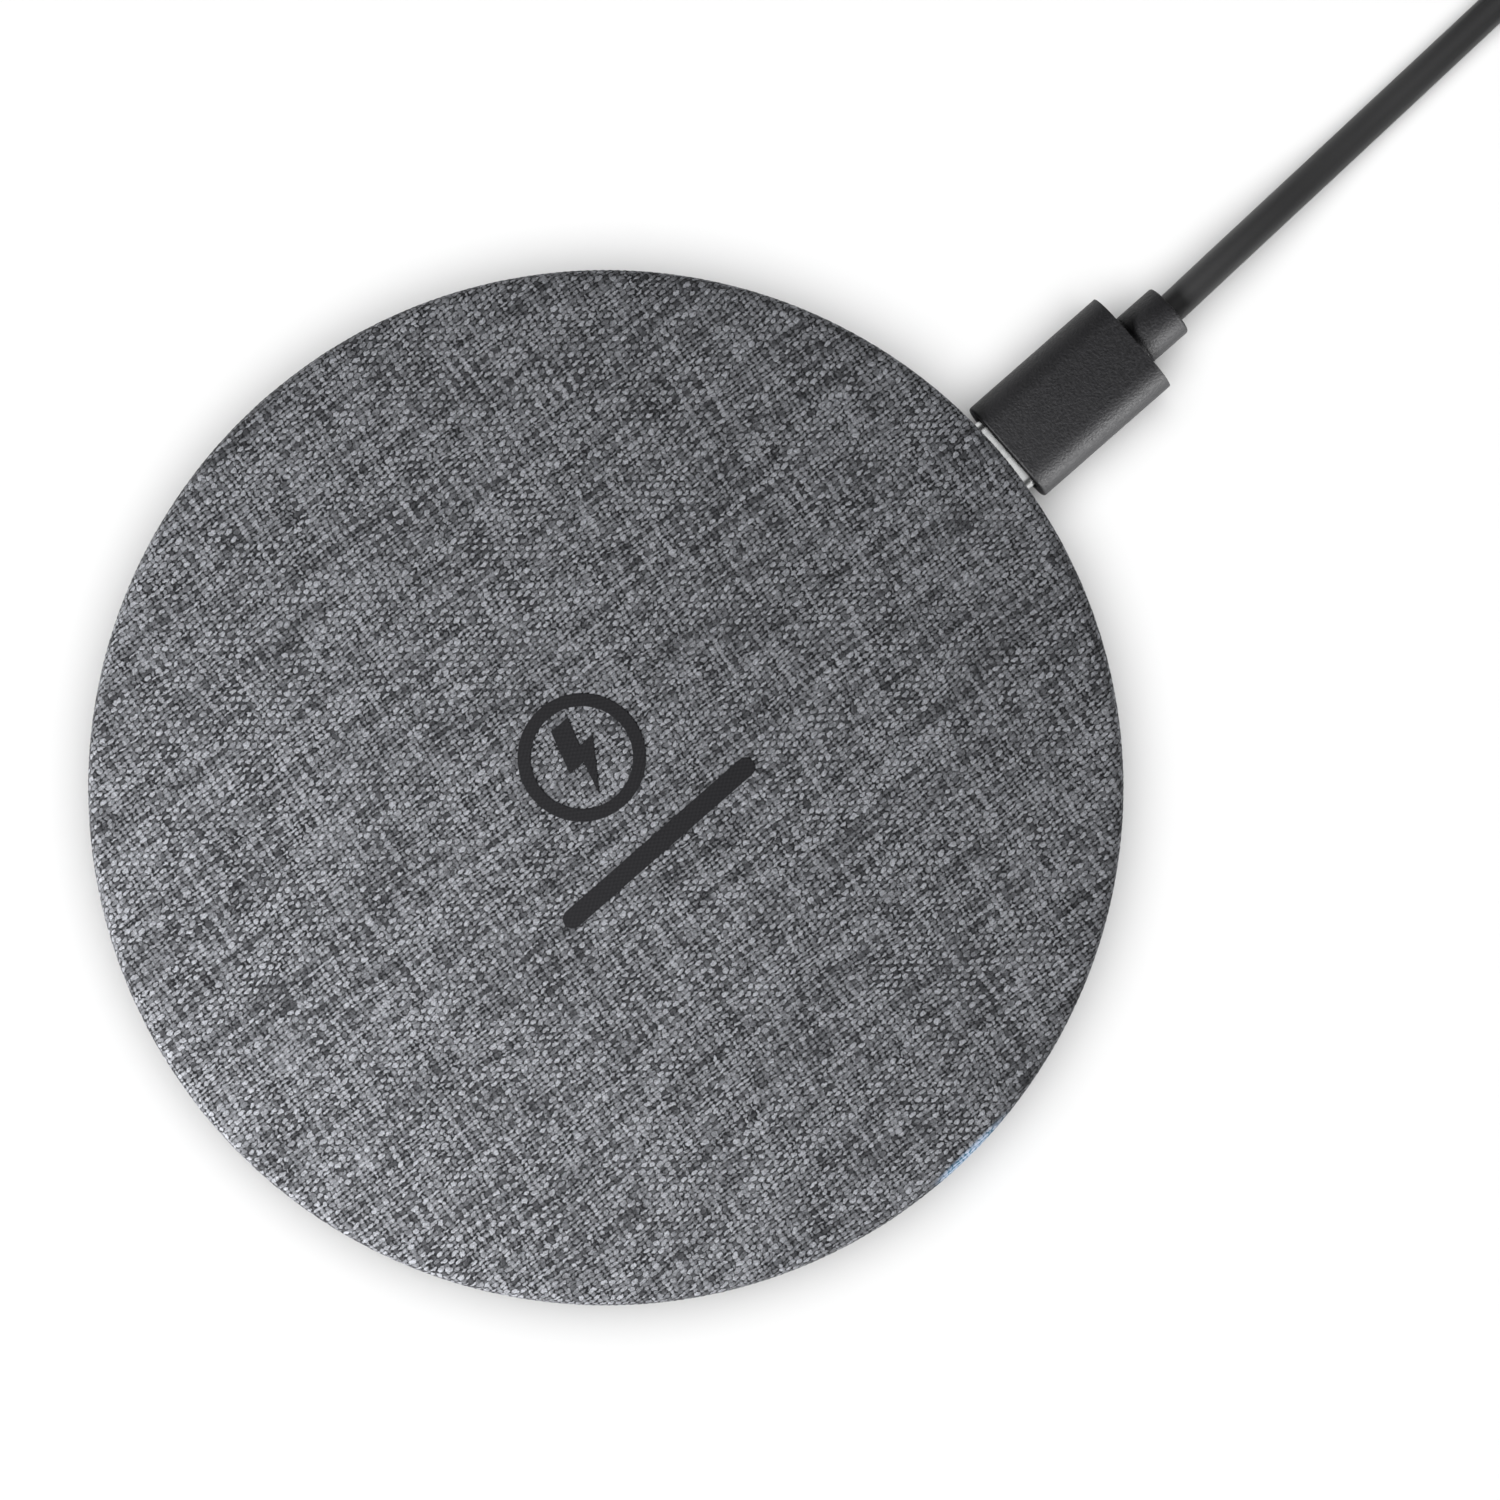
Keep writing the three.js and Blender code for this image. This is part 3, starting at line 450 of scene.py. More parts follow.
# Each yarn takes its noise this far from the next yarn's, so that neighbours differ.
SLUB_STRIDE = 5.17
ROW_STRIDE = 47.31
# How high a yarn rises over a crossing and how round its top is, in weave depths.
WEFT_RISE = 0.6
WEFT_ROUND = 0.8
WARP_RISE = 0.4
WARP_ROUND = 0.65
WEAVE_DEPTH = 0.045 * MM
# The share of a yarn's lightness that is in its short flecks.
FLECK_SHARE = 0.45

# Where the glow fades in and out: along the edge, over the shoulder, and up the side.
GLOW_START = (-4.9 * MM, -2.3 * MM)
GLOW_END = (1.0 * MM, 6.6 * MM)
GLOW_SHOULDER = (PAD_RADIUS - 0.85 * MM, PAD_RADIUS - 0.35 * MM)
GLOW_SIDE = (3.0 * MM, 5.6 * MM)
GLOW_STRENGTH = 0.6


def yarn_profile(shader, offset, along, index, seed, slub):
    """The round top of a yarn across its width: 1 in the middle, 0 at its sides. Its width varies."""
    row = shader.math("MULTIPLY", index, SLUB_STRIDE)
    uneven = shader.noise(shader.combine(along, row, seed), slub, detail=2.0)
    half = shader.remap(uneven, 0.3, 0.7, *YARN_HALF_WIDTHS, smooth=False)
    across = shader.math("DIVIDE", offset, half)
    square = shader.math("MULTIPLY", across, across)
    rest = shader.math("SUBTRACT", 1.0, square, clamp=True)
    return shader.math("SQRT", rest)


def yarn_drift(shader, point, scale):
    """How far the yarns wander from an even weave, counted in yarns."""
    slow = shader.noise(point, scale, detail=3.0)
    quick = shader.noise(point, scale * 13, detail=1.0)
    ragged = shader.noise(point, scale * 47, detail=1.0)
    near = shader.math("MULTIPLY_ADD", quick, QUICK_DRIFT, shader.math("MULTIPLY", ragged, RAGGED_DRIFT))
    wander = shader.math("MULTIPLY_ADD", slow, SLOW_DRIFT, near)
    return shader.math("SUBTRACT", wander, (SLOW_DRIFT + QUICK_DRIFT + RAGGED_DRIFT) / 2)


def melange(shader, along, index, seed, fleck, streak):
    """How light a yarn is along its length: short flecks on longer streaks."""
    row = shader.math("MULTIPLY", index, ROW_STRIDE)
    short = shader.noise(shader.combine(along, row, seed), fleck, detail=2.0, roughness=0.6)
    long = shader.noise(shader.combine(along, row, seed + 5), streak, detail=1.0)
    flecks = shader.math("MULTIPLY", short, FLECK_SHARE)
    streaks = shader.math("MULTIPLY", long, 1 - FLECK_SHARE)
    return shader.math("ADD", flecks, streaks)


def fibre_lines_and_glints(shader, along, across, seed):
    """Fine lines that run with a yarn. In the colour they are partly the fibres' own tone and partly
    painted highlights along the yarn; they also go into the bump.
    """
    return shader.noise(shader.combine(shader.math("MULTIPLY", along, 0.9), across, seed), 3.4, detail=1.0)


def cloth_material():
    s = Shader("heather_cloth")
    laid = s.tree.nodes.new("ShaderNodeAttribute")
    laid.attribute_name = "cloth_point"
    point = laid.outputs["Vector"]

    # Counted in yarns, across the weft (along X) and across the warp (along Y).
    weft_vector = (math.cos(WEFT_ACROSS) / PITCH_ALONG_Y, math.sin(WEFT_ACROSS) / PITCH_ALONG_Y, 0)
    warp_vector = (math.cos(WARP_ACROSS) / PITCH_ALONG_X, math.sin(WARP_ACROSS) / PITCH_ALONG_X, 0)
    drift_weft = yarn_drift(s, point, 90)
    drift_warp = yarn_drift(s, point, 75)
    weft = s.math("ADD", s.vector_math("DOT_PRODUCT", point, weft_vector), drift_weft)
    warp = s.math("ADD", s.vector_math("DOT_PRODUCT", point, warp_vector), drift_warp)
    weft_index = s.math("FLOOR", weft)
    warp_index = s.math("FLOOR", warp)
    weft_offset = s.math("SUBTRACT", s.math("FRACT", weft), 0.5)
    warp_offset = s.math("SUBTRACT", s.math("FRACT", warp), 0.5)

    # Each yarn goes over one crossing and under the next.
    weft_phase = s.math("MULTIPLY", s.math("ADD", s.math("SUBTRACT", warp, 0.5), weft_index), math.pi)
    warp_phase = s.math("MULTIPLY", s.math("ADD", s.math("SUBTRACT", weft, 0.5), warp_index), math.pi)
    weft_rise = s.math("COSINE", weft_phase)
    warp_rise = s.math("MULTIPLY", s.math("COSINE", warp_phase), -1.0)
    weft_top = yarn_profile(s, weft_offset, warp, weft_index, 3.0, slub=0.22)
    warp_top = yarn_profile(s, warp_offset, weft, warp_index, 9.0, slub=0.2)
    weft_height = s.math("MULTIPLY_ADD", weft_rise, WEFT_RISE, s.math("MULTIPLY", weft_top, WEFT_ROUND))
    warp_height = s.math("MULTIPLY_ADD", warp_rise, WARP_RISE, s.math("MULTIPLY", warp_top, WARP_ROUND))
    weft_wins = s.math("GREATER_THAN", weft_height, warp_height)
    height = s.math("MAXIMUM", weft_height, warp_height)

    weft_light = melange(s, warp, weft_index, 1.0, fleck=0.75, streak=0.07)
    warp_light = melange(s, weft, warp_index, 23.0, fleck=0.6, streak=0.07)
    weft_colour = s.mix(s.remap(weft_light, 0.36, 0.56, smooth=False), DARK_YARN, LIGHT_YARN)
    warp_colour = s.mix(s.remap(warp_light, 0.40, 0.64, smooth=False), DARK_YARN, LIGHT_YARN)
    yarn = s.mix(weft_wins, warp_colour, weft_colour)

    weft_fibre_and_glint = fibre_lines_and_glints(s, warp, weft, 2.0)
    warp_fibre_and_glint = fibre_lines_and_glints(s, weft, warp, 4.0)
    fibre_and_glint = s.math("ADD", s.math("MULTIPLY", weft_wins, weft_fibre_and_glint),
                   s.math("MULTIPLY", s.math("SUBTRACT", 1.0, weft_wins), warp_fibre_and_glint))
    # Fibre lines lighten and darken the yarns: partly their own tone, partly painted highlights along
    # them.
    yarn = s.scale_colour(yarn, s.remap(fibre_and_glint, 0.3, 0.7, 0.62, 1.38, smooth=False))
    # The yarns are painted darker down their sides and nearly black in the gaps between them: painted
    # shade.
    depth = s.remap(height, 0.4, 1.0)
    colour = s.mix(depth, GAP_SHADE, yarn)

    glow = light_mask(s)
    s.set(
        Base_Color=colour,
        Roughness=0.88,
        Emission_Color=s.mix(depth, GLOW_TEAL, GLOW_PALE),
        Emission_Strength=glow,
    )
    s.principled.inputs["Specular IOR Level"].default_value = 0.25
    s.principled.inputs["Sheen Weight"].default_value = 0.05
    s.principled.inputs["Sheen Roughness"].default_value = 0.5
    s.bump(s.math("MULTIPLY_ADD", fibre_and_glint, 0.25, height), WEAVE_DEPTH)
    return s.material


def light_mask(s):
    """Where the status light shines through the cloth: a soft bar on the edge at the light's angle."""
    z = s.separate(s.object_point())[2]
    outward = (math.cos(LIGHT_ANGLE), math.sin(LIGHT_ANGLE), 0)
    sideways = (-math.sin(LIGHT_ANGLE), math.cos(LIGHT_ANGLE), 0)
    reach = s.vector_math("DOT_PRODUCT", s.object_point(), outward)
    aside = s.vector_math("DOT_PRODUCT", s.object_point(), sideways)
    start = s.remap(aside, *GLOW_START)
    end = s.remap(aside, *GLOW_END, 1.0, 0.0)
    over_edge = s.remap(reach, *GLOW_SHOULDER)
    above = s.remap(z, *GLOW_SIDE)
    along = s.math("MULTIPLY", start, end)
    across = s.math("MULTIPLY", over_edge, along)
    return s.math("MULTIPLY", across, s.math("MULTIPLY", above, GLOW_STRENGTH))


def moulded_plastic(name, colour, roughness, grain, depth):
    """Spark-textured plastic: fine even grain, a little uneven in tone."""
    s = Shader(name)
    point = s.object_point()
    fine = s.noise(point, 1 / grain, detail=1.0)
    patchy = s.noise(point, 0.05 / grain, detail=2.0)
    tone = s.math("MULTIPLY_ADD", patchy, 0.2, s.math("MULTIPLY_ADD", fine, 0.9, 0.45))
    s.set(Base_Color=s.scale_colour(colour, tone))
    s.set(Roughness=s.remap(fine, 0.3, 0.7, roughness - 0.06, roughness + 0.06))
    s.bump(fine, depth)
    return s.material


def cable_material():
    s = Shader("cable_jacket")
    point = s.object_point()
    fine = s.noise(point, 2600, detail=2.0)
    broad = s.noise(point, 90, detail=2.0)
    tone = s.math("MULTIPLY_ADD", broad, 0.16, s.math("MULTIPLY_ADD", fine, 0.1, 0.87))
    s.set(Base_Color=s.scale_colour((0.045, 0.045, 0.046), tone))
    s.set(Roughness=s.remap(broad, 0.3, 0.7, 0.5, 0.6))
    s.bump(fine, 0.01 * MM)
    return s.material


def metal(name, colour, roughness, grain=1500, stretch=(0.08, 1, 1)):
    """Drawn or plated metal with faint lines along X."""
    s = Shader(name)
    point = s.vector_math("MULTIPLY", s.object_point(), stretch)
    lines = s.noise(point, grain, detail=3.0)
    tone = s.remap(lines, 0.3, 0.7, 0.92, 1.04)
    s.set(Base_Color=s.scale_colour(colour, tone), Metallic=1.0)
    s.set(Roughness=s.remap(lines, 0.3, 0.7, roughness - 0.05, roughness + 0.07))
    s.bump(lines, 0.004 * MM)
    return s.material


def rubber_material(name, colour):
    s = Shader(name)
    point = s.object_point()
    fine = s.noise(point, 3500, detail=2.0)
    dust = s.noise(point, 300, detail=4.0, roughness=0.7)
    tone = s.math("ADD", s.remap(dust, 0.45, 0.75, 0.9, 1.5), s.math("MULTIPLY", fine, 0.15))
    s.set(Base_Color=s.scale_colour(colour, tone), Roughness=s.remap(fine, 0.3, 0.7, 0.66, 0.82))
    s.bump(fine, 0.02 * MM)
    return s.material


def strap_material():
    """Flat hook-and-loop strap: a fine tight rib across it, with a fluffy surface."""
    s = Shader("tie_strap")
    point = s.object_point()
    x, y, z = s.separate(point)
    rib = s.math("SINE", s.math("MULTIPLY", y, 2 * math.pi / (0.5 * MM)))
    fluff = s.noise(point, 5000, detail=3.0)
    # The rib's troughs are painted darker: painted shade. The fluff is the strap's own tone.
    tone = s.math("MULTIPLY_ADD", rib, 0.15, s.math("MULTIPLY_ADD", fluff, 0.8, 0.6))
    s.set(Base_Color=s.scale_colour((0.022, 0.022, 0.023), tone), Roughness=0.9)
    s.principled.inputs["Sheen Weight"].default_value = 0.2
    s.bump(s.math("MULTIPLY_ADD", rib, 0.4, fluff), 0.05 * MM)
    return s.material


def film_material():
    """Heat-pressed film that takes on a trace of the cloth under it."""
    s = Shader("mark_film")
    point = s.object_point()
    waves_x = s.math("SINE", s.math("MULTIPLY", s.separate(point)[0], 2 * math.pi / PITCH_ALONG_X))
    waves_y = s.math("SINE", s.math("MULTIPLY", s.separate(point)[1], 2 * math.pi / PITCH_ALONG_Y))
    weave = s.math("MULTIPLY", waves_x, waves_y)
    fine = s.noise(point, 4000, detail=2.0)
    tone = s.math("MULTIPLY_ADD", weave, 0.06, s.math("MULTIPLY_ADD", fine, 0.1, 0.95))
    s.set(Base_Color=s.scale_colour((0.0135, 0.0133, 0.0150), tone), Roughness=0.7)
    s.principled.inputs["Specular IOR Level"].default_value = 0.15
    s.bump(s.math("MULTIPLY_ADD", weave, 0.5, fine), 0.02 * MM)
    return s.material


def light_guide_material():
    s = Shader("light_guide")
    frost = s.noise(s.object_point(), 1800, detail=2.0)
    s.set(Base_Color=s.mix(frost, (0.42, 0.66, 0.86), (0.55, 0.76, 0.92)), Roughness=0.35)
    s.set(Emission_Color=(0.16, 0.48, 0.9, 1), Emission_Strength=s.remap(frost, 0.3, 0.7, 1.4, 2.0))
    return s.material


def wound_copper_material():
    """Litz wire wound in a flat spiral: each turn is a shallow ridge with fine strands."""
    s = Shader("wound_copper")
    point = s.object_point()
    x, y, z = s.separate(point)
    radius = s.vector_math("LENGTH", s.combine(x, y))
    turns = s.math("MULTIPLY", radius, 2 * math.pi / (1.2 * MM))
    ridge = s.math("MULTIPLY_ADD", s.math("COSINE", turns), 0.5, 0.5)
    strands = s.noise(point, 6000, detail=2.0)
    # The grooves between turns are painted darker: painted shade. The strands' speckle is the wire's own
    # tone.
    tone = s.math("MULTIPLY_ADD", ridge, 0.5, s.math("MULTIPLY_ADD", strands, 0.4, 0.4))
    s.set(Base_Color=s.scale_colour((0.62, 0.26, 0.11), tone), Metallic=1.0)
    s.set(Roughness=s.remap(strands, 0.3, 0.7, 0.3, 0.45))
    s.bump(s.math("MULTIPLY_ADD", strands, 0.2, ridge), 0.15 * MM)
    return s.material


def board_material():
    """Green solder mask over copper tracks that run on a fine square grid."""
    s = Shader("circuit_board")
    point = s.object_point()
    x, y, z = s.separate(point)
    cell = s.combine(
        s.math("FLOOR", s.math("DIVIDE", x, 0.8 * MM)), s.math("FLOOR", s.math("DIVIDE", y, 2.6 * MM)),
    )
    track = s.math("GREATER_THAN", s.white_noise(cell), 0.55)
    mottled = s.noise(point, 1200, detail=3.0)
    colour = s.mix(track, (0.010, 0.070, 0.026), (0.022, 0.125, 0.045))
    s.set(Base_Color=s.scale_colour(colour, s.remap(mottled, 0.3, 0.7, 0.88, 1.1)))
    s.set(Roughness=s.remap(mottled, 0.3, 0.7, 0.3, 0.42))
    s.bump(track, 0.03 * MM)
    return s.material


def speckled_material(name, colour, roughness, grain=1600, contrast=0.25):
    """Pressed or moulded solids: ferrite, ceramic, epoxy and tape."""
    s = Shader(name)
    point = s.object_point()
    grains = s.cells(point, grain)
    cloudy = s.noise(point, grain / 12, detail=3.0)
    tone = s.math("MULTIPLY_ADD", grains, contrast, s.math("MULTIPLY_ADD", cloudy, contrast, 1 - contrast))
    s.set(Base_Color=s.scale_colour(colour, tone))
    s.set(Roughness=s.remap(cloudy, 0.3, 0.7, roughness - 0.05, roughness + 0.08))
    s.bump(grains, 0.01 * MM)
    return s.material


HEATHER_CLOTH = cloth_material()
MARK_FILM = film_material()
SHELL_PLASTIC = moulded_plastic("shell_plastic", (0.022, 0.022, 0.024), 0.5, 0.25 * MM, 0.02 * MM)
PLUG_PLASTIC = moulded_plastic("plug_plastic", (0.0135, 0.0133, 0.0150), 0.56, 0.22 * MM, 0.055 * MM)
CABLE_JACKET = cable_material()
PLATED_SHELL = metal("plated_shell", (0.74, 0.75, 0.75), 0.26)
STEEL = metal("screw_steel", (0.52, 0.52, 0.54), 0.34, stretch=(1, 1, 1))
GOLD = metal("gold_contact", (0.85, 0.62, 0.28), 0.24)
SILICONE = rubber_material("foot_silicone", (0.028, 0.028, 0.030))
TIE_STRAP = strap_material()
LIGHT_GUIDE = light_guide_material()
WOUND_COPPER = wound_copper_material()
CIRCUIT_BOARD = board_material()
FERRITE = speckled_material("ferrite", (0.058, 0.055, 0.057), 0.62)
TAPE = speckled_material("adhesive_tape", (0.72, 0.60, 0.30), 0.45, contrast=0.12)
CHIP_RESIN = speckled_material("chip_resin", (0.014, 0.014, 0.015), 0.5, grain=4000)
CERAMIC = speckled_material("capacitor_ceramic", (0.42, 0.27, 0.15), 0.42, grain=3000, contrast=0.15)
LED_BODY = speckled_material("led_body", (0.78, 0.78, 0.72), 0.3, grain=3000, contrast=0.08)
CONNECTOR_PLASTIC = speckled_material("connector_plastic", (0.016, 0.016, 0.017), 0.42, grain=3500)


# ------------------------------------------------------------------ cloth cover

CLOTH_STEPS = 1800
# How much wider and higher than the socket the opening in the cloth is.
PORT_CLEARANCE_WIDE = 1.1 * MM
PORT_CLEARANCE_HIGH = 0.9 * MM
YARN_RELIEF = 0.09 * MM
# Its yarns' rise and roundness, and the yarn height that lies on the smooth surface.
RELIEF_RISE = 0.5
RELIEF_ROUND = 0.75
RELIEF_LEVEL = 0.9
SHOULDER_R = PAD_RADIUS - SHOULDER
SHOULDER_Z = PAD_TOP - SHOULDER
SHOULDER_LENGTH = SHOULDER * math.pi / 2
SIDE_BOTTOM = HEM_BOTTOM + HEM_ROUNDING


def laid_distance(radius, height):
    """How far a point on the cloth is from the pad's middle, measured along the cloth."""
    if height > SHOULDER_Z and radius <= SHOULDER_R:
        return radius
    if height > SHOULDER_Z:
        return SHOULDER_R + SHOULDER * math.atan2(radius - SHOULDER_R, height - SHOULDER_Z)
    down = SHOULDER_Z - height
    under = max(0.0, PAD_RADIUS - HEM_ROUNDING - radius) if height < SIDE_BOTTOM else 0.0
    return SHOULDER_R + SHOULDER_LENGTH + down + under


def yarn_height(u, v):
    """The weave's relief at a point of the flat cloth, from about -0.5 to 1.25."""
    weft = (u * math.cos(WEFT_ACROSS) + v * math.sin(WEFT_ACROSS)) / PITCH_ALONG_Y
    warp = (u * math.cos(WARP_ACROSS) + v * math.sin(WARP_ACROSS)) / PITCH_ALONG_X
    weft_index, warp_index = math.floor(weft), math.floor(warp)
    weft_offset, warp_offset = weft - weft_index - 0.5, warp - warp_index - 0.5
    weft_rise = math.cos(math.pi * (warp - 0.5 + weft_index))
    warp_rise = -math.cos(math.pi * (weft - 0.5 + warp_index))
    weft_top = math.sqrt(max(0.0, 1 - (2 * weft_offset) ** 2))
    warp_top = math.sqrt(max(0.0, 1 - (2 * warp_offset) ** 2))
    weft_height = RELIEF_RISE * weft_rise + RELIEF_ROUND * weft_top
    warp_height = RELIEF_RISE * warp_rise + RELIEF_ROUND * warp_top
    return max(weft_height, warp_height)


def cloth_profile():
    """(radius, height, share of yarn relief) from the middle of the top, over the edge and back inside."""
    points = [(0, PAD_TOP, 0)]
    points += [(share * SHOULDER_R, PAD_TOP, 0) for share in (0.3, 0.6, 0.8, 0.92, 0.97, 0.985)]
    points += [(r, z, 1) for r, z in corner(SHOULDER_R, SHOULDER_Z, SHOULDER, 90, 0, 11)]
    side_steps = 16
    side = SHOULDER_Z - SIDE_BOTTOM
    points += [(PAD_RADIUS, SHOULDER_Z - side * i / side_steps, 1) for i in range(1, side_steps)]
    hem = corner(PAD_RADIUS - HEM_ROUNDING, SIDE_BOTTOM, HEM_ROUNDING, 0, -90, 4)
    points += [(r, z, 0.5) for r, z in hem]
    inner = PAD_RADIUS - CLOTH_THICKNESS
    hem_top = HEM_BOTTOM + CLOTH_THICKNESS - 0.1 * MM
    points += [
        (PAD_RADIUS - HEM_WIDTH, HEM_BOTTOM, 0),
        (PAD_RADIUS - HEM_WIDTH, hem_top, 0),
        (inner, hem_top, 0),
        (inner, SHOULDER_Z, 0),
        (SHOULDER_R, PAD_TOP - CLOTH_THICKNESS, 0),
        (0, PAD_TOP - CLOTH_THICKNESS, 0),
    ]
    return points


def make_cloth():
    rings = []
    profile = cloth_profile()
    for index, (radius, height, relief) in enumerate(profile):
        if radius < 1e-9:
            rings.append([(0, 0, height)])
            continue
        before, after = profile[index - 1], profile[index + 1]
        run = Vector((after[0] - before[0], after[1] - before[1]))
        normal = Vector((-run.y, run.x)).normalized()
        laid = laid_distance(radius, height)
        ring = []
        for i in range(CLOTH_STEPS):
            angle = 2 * math.pi * i / CLOTH_STEPS
            cosine, sine = math.cos(angle), math.sin(angle)
            lift = 0.0
            if relief:
                lift = relief * YARN_RELIEF * (yarn_height(laid * cosine, laid * sine) - RELIEF_LEVEL)
            r = radius + normal.x * lift
            ring.append((r * cosine, r * sine, height + normal.y * lift))
        rings.append(ring)
    cloth = rings_to_mesh("cloth_cover", rings, smooth_angle=60)
    cut_port(cloth)
    lay_points(cloth)
    return cloth


def cut_port(cloth):
    receptacle_low, receptacle_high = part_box("usb_c_receptacle_shell")
    width = receptacle_high.y - receptacle_low.y + PORT_CLEARANCE_WIDE
    height = receptacle_high.z - receptacle_low.z + PORT_CLEARANCE_HIGH
    origin = (0, PORT_Y, PORT_Z)
    inner, outer = PAD_RADIUS - 4 * MM, PAD_RADIUS + 2 * MM
    rings = [
        [(inner, PORT_Y, PORT_Z)],
        section_ring(inner, width, height, height / 2, origin),
        section_ring(outer, width, height, height / 2, origin),
        [(outer, PORT_Y, PORT_Z)],
    ]
    cutter = rings_to_mesh("port_cutter", rings)
    apply_boolean(cloth, cutter)


def apply_boolean(piece, cutter):
    """Cuts the cutter out of the piece, and removes the cutter."""
    modifier = piece.modifiers.new("cut", "BOOLEAN")
    modifier.operation = "DIFFERENCE"
    modifier.solver = "EXACT"
    modifier.object = cutter
    bpy.context.view_layer.objects.active = piece
    bpy.ops.object.modifier_apply(modifier=modifier.name)
    bpy.data.objects.remove(cutter)


def lay_points(cloth):
    """Stores where each vertex was on the flat cloth, for the weave to follow."""
    mesh = cloth.data
    laid = mesh.attributes.new("cloth_point", "FLOAT_VECTOR", "POINT")
    values = []
    for vertex in mesh.vertices:
        x, y, z = vertex.co
        radius = math.hypot(x, y)
        distance = laid_distance(radius, z)
        share = distance / radius if radius > 1e-9 else 0
        values += [x * share, y * share, 0]
    laid.data.foreach_set("vector", values)


cloth = make_cloth()
settle(cloth, "pad", "cloth", HEATHER_CLOTH, "fabric_cover")


# ------------------------------------------------------------------ plugs


def moulded_body(name, low, high, pocket_size, pocket_depth, rounding, facing, material, node):
    """A plug's moulded body along X, with a pocket for its shell. Facing is where its pocket points."""
    length, width, height = high - low
    edge = 0.7 * MM
    lip = 0.12 * MM
    mouth = high.x if facing > 0 else low.x
    origin = (mouth, (low.y + high.y) / 2, (low.z + high.z) / 2)
    pocket_w, pocket_h, pocket_r = pocket_size

    def ring(x, shrink):
        return section_ring(x, width - 2 * shrink, height - 2 * shrink, rounding - shrink, origin, facing)

    def pocket_ring(x, grow):
        w, h, r = pocket_w + 2 * grow, pocket_h + 2 * grow, pocket_r + grow
        return section_ring(x, w, h, r, origin, facing)

    rings = [[(mouth - facing * pocket_depth, origin[1], origin[2])], pocket_ring(-pocket_depth, 0)]
    rings += [pocket_ring(-lip, 0), pocket_ring(-0.03 * MM, 0.09 * MM), pocket_ring(0, lip)]
    rim = 0.25 * MM
    rings += [ring(rim * (math.sin(a) - 1), rim * (1 - math.cos(a))) for a in quarter_turn(5, down=True)]
    rings += [ring(edge - length + edge * (math.cos(a) - 1), edge * (1 - math.sin(a)))
              for a in quarter_turn(6, down=True)]
    rings.append(ring(-length, width * 0.2))
    rings.append([(mouth - facing * length, origin[1], origin[2])])
    body = rings_to_mesh(name, rings, smooth_angle=40)
    return settle(body, "cable", "plug_plastic", material, node)


def quarter_turn(steps, down=False):
    """Angles from 0 to 90 degrees in radians, or back."""
    angles = [math.pi / 2 * i / steps for i in range(steps + 1)]
    return angles[::-1] if down else angles


# Points round each ring of a sleeve.
SLEEVE_STEPS = 64


def moulded_sleeve(name, low, high, facing, material, node):
    """The sleeve where the cable leaves a plug: a narrow neck, a straight barrel, a rounded end."""
    length = high.x - low.x
    radius = (high.z - low.z) / 2
    neck = radius - 0.13 * MM
    step = 0.4 * MM
    rounding = 0.25 * MM
    hole = CABLE_DIAMETER / 2 + 0.06 * MM
    centre = Vector(((low.x if facing > 0 else high.x), (low.y + high.y) / 2, (low.z + high.z) / 2))
    profile = [(0, 0), (neck, 0), (neck, step - 0.12 * MM), (radius - 0.04 * MM, step)]
    profile += [(radius, step + 0.08 * MM)]
    profile += corner_down(radius, length, rounding)
    profile += [(hole + 0.12 * MM, length), (hole, length - 0.12 * MM), (hole, length - 0.6 * MM)]
    profile += [(0, length - 0.6 * MM)]
    rings = []
    for ring_radius, along in profile:
        x = centre.x + facing * along
        count = SLEEVE_STEPS if ring_radius > 0 else 1
        rings.append([
            (x, centre.y + ring_radius * math.cos(2 * math.pi * i / SLEEVE_STEPS),
             centre.z + ring_radius * math.sin(2 * math.pi * i / SLEEVE_STEPS))
            for i in range(count)
        ])
    sleeve = rings_to_mesh(name, rings, smooth_angle=40)
    return settle(sleeve, "cable", "plug_plastic", material, node)


def corner_down(radius, length, rounding):
    """The rounded outer end of a sleeve's (radius, length) profile."""
    points = []
    for angle in quarter_turn(6):
        across = radius - rounding * (1 - math.cos(angle))
        points.append((across, length - rounding * (1 - math.sin(angle))))
    return points


def drawn_shell(name, low, high, wall, rounding, facing, node):
    """A plug's drawn metal shell along X with a rolled lip. Facing is where its mouth points."""
    length, width, height = high - low
    mouth = high.x if facing > 0 else low.x
    origin = (mouth, (low.y + high.y) / 2, (low.z + high.z) / 2)
    lip = wall / 2

    def ring(x, shrink):
        return section_ring(x, width - 2 * shrink, height - 2 * shrink, rounding - shrink, origin, facing)

    rings = [ring(-length, 0)]
    rings += [ring(lip * (math.cos(a) - 1), lip * (1 - math.sin(a))) for a in half_turn(8)]
    rings += [ring(-length, wall), ring(-length, 0)]
    shell = rings_to_mesh(name, rings, smooth_angle=50)
    return settle(shell, "cable", "plated_shell", PLATED_SHELL, node)


def half_turn(steps):
    """Angles from 90 to -90 degrees, in radians."""
    return [math.pi / 2 - math.pi * i / steps for i in range(steps + 1)]


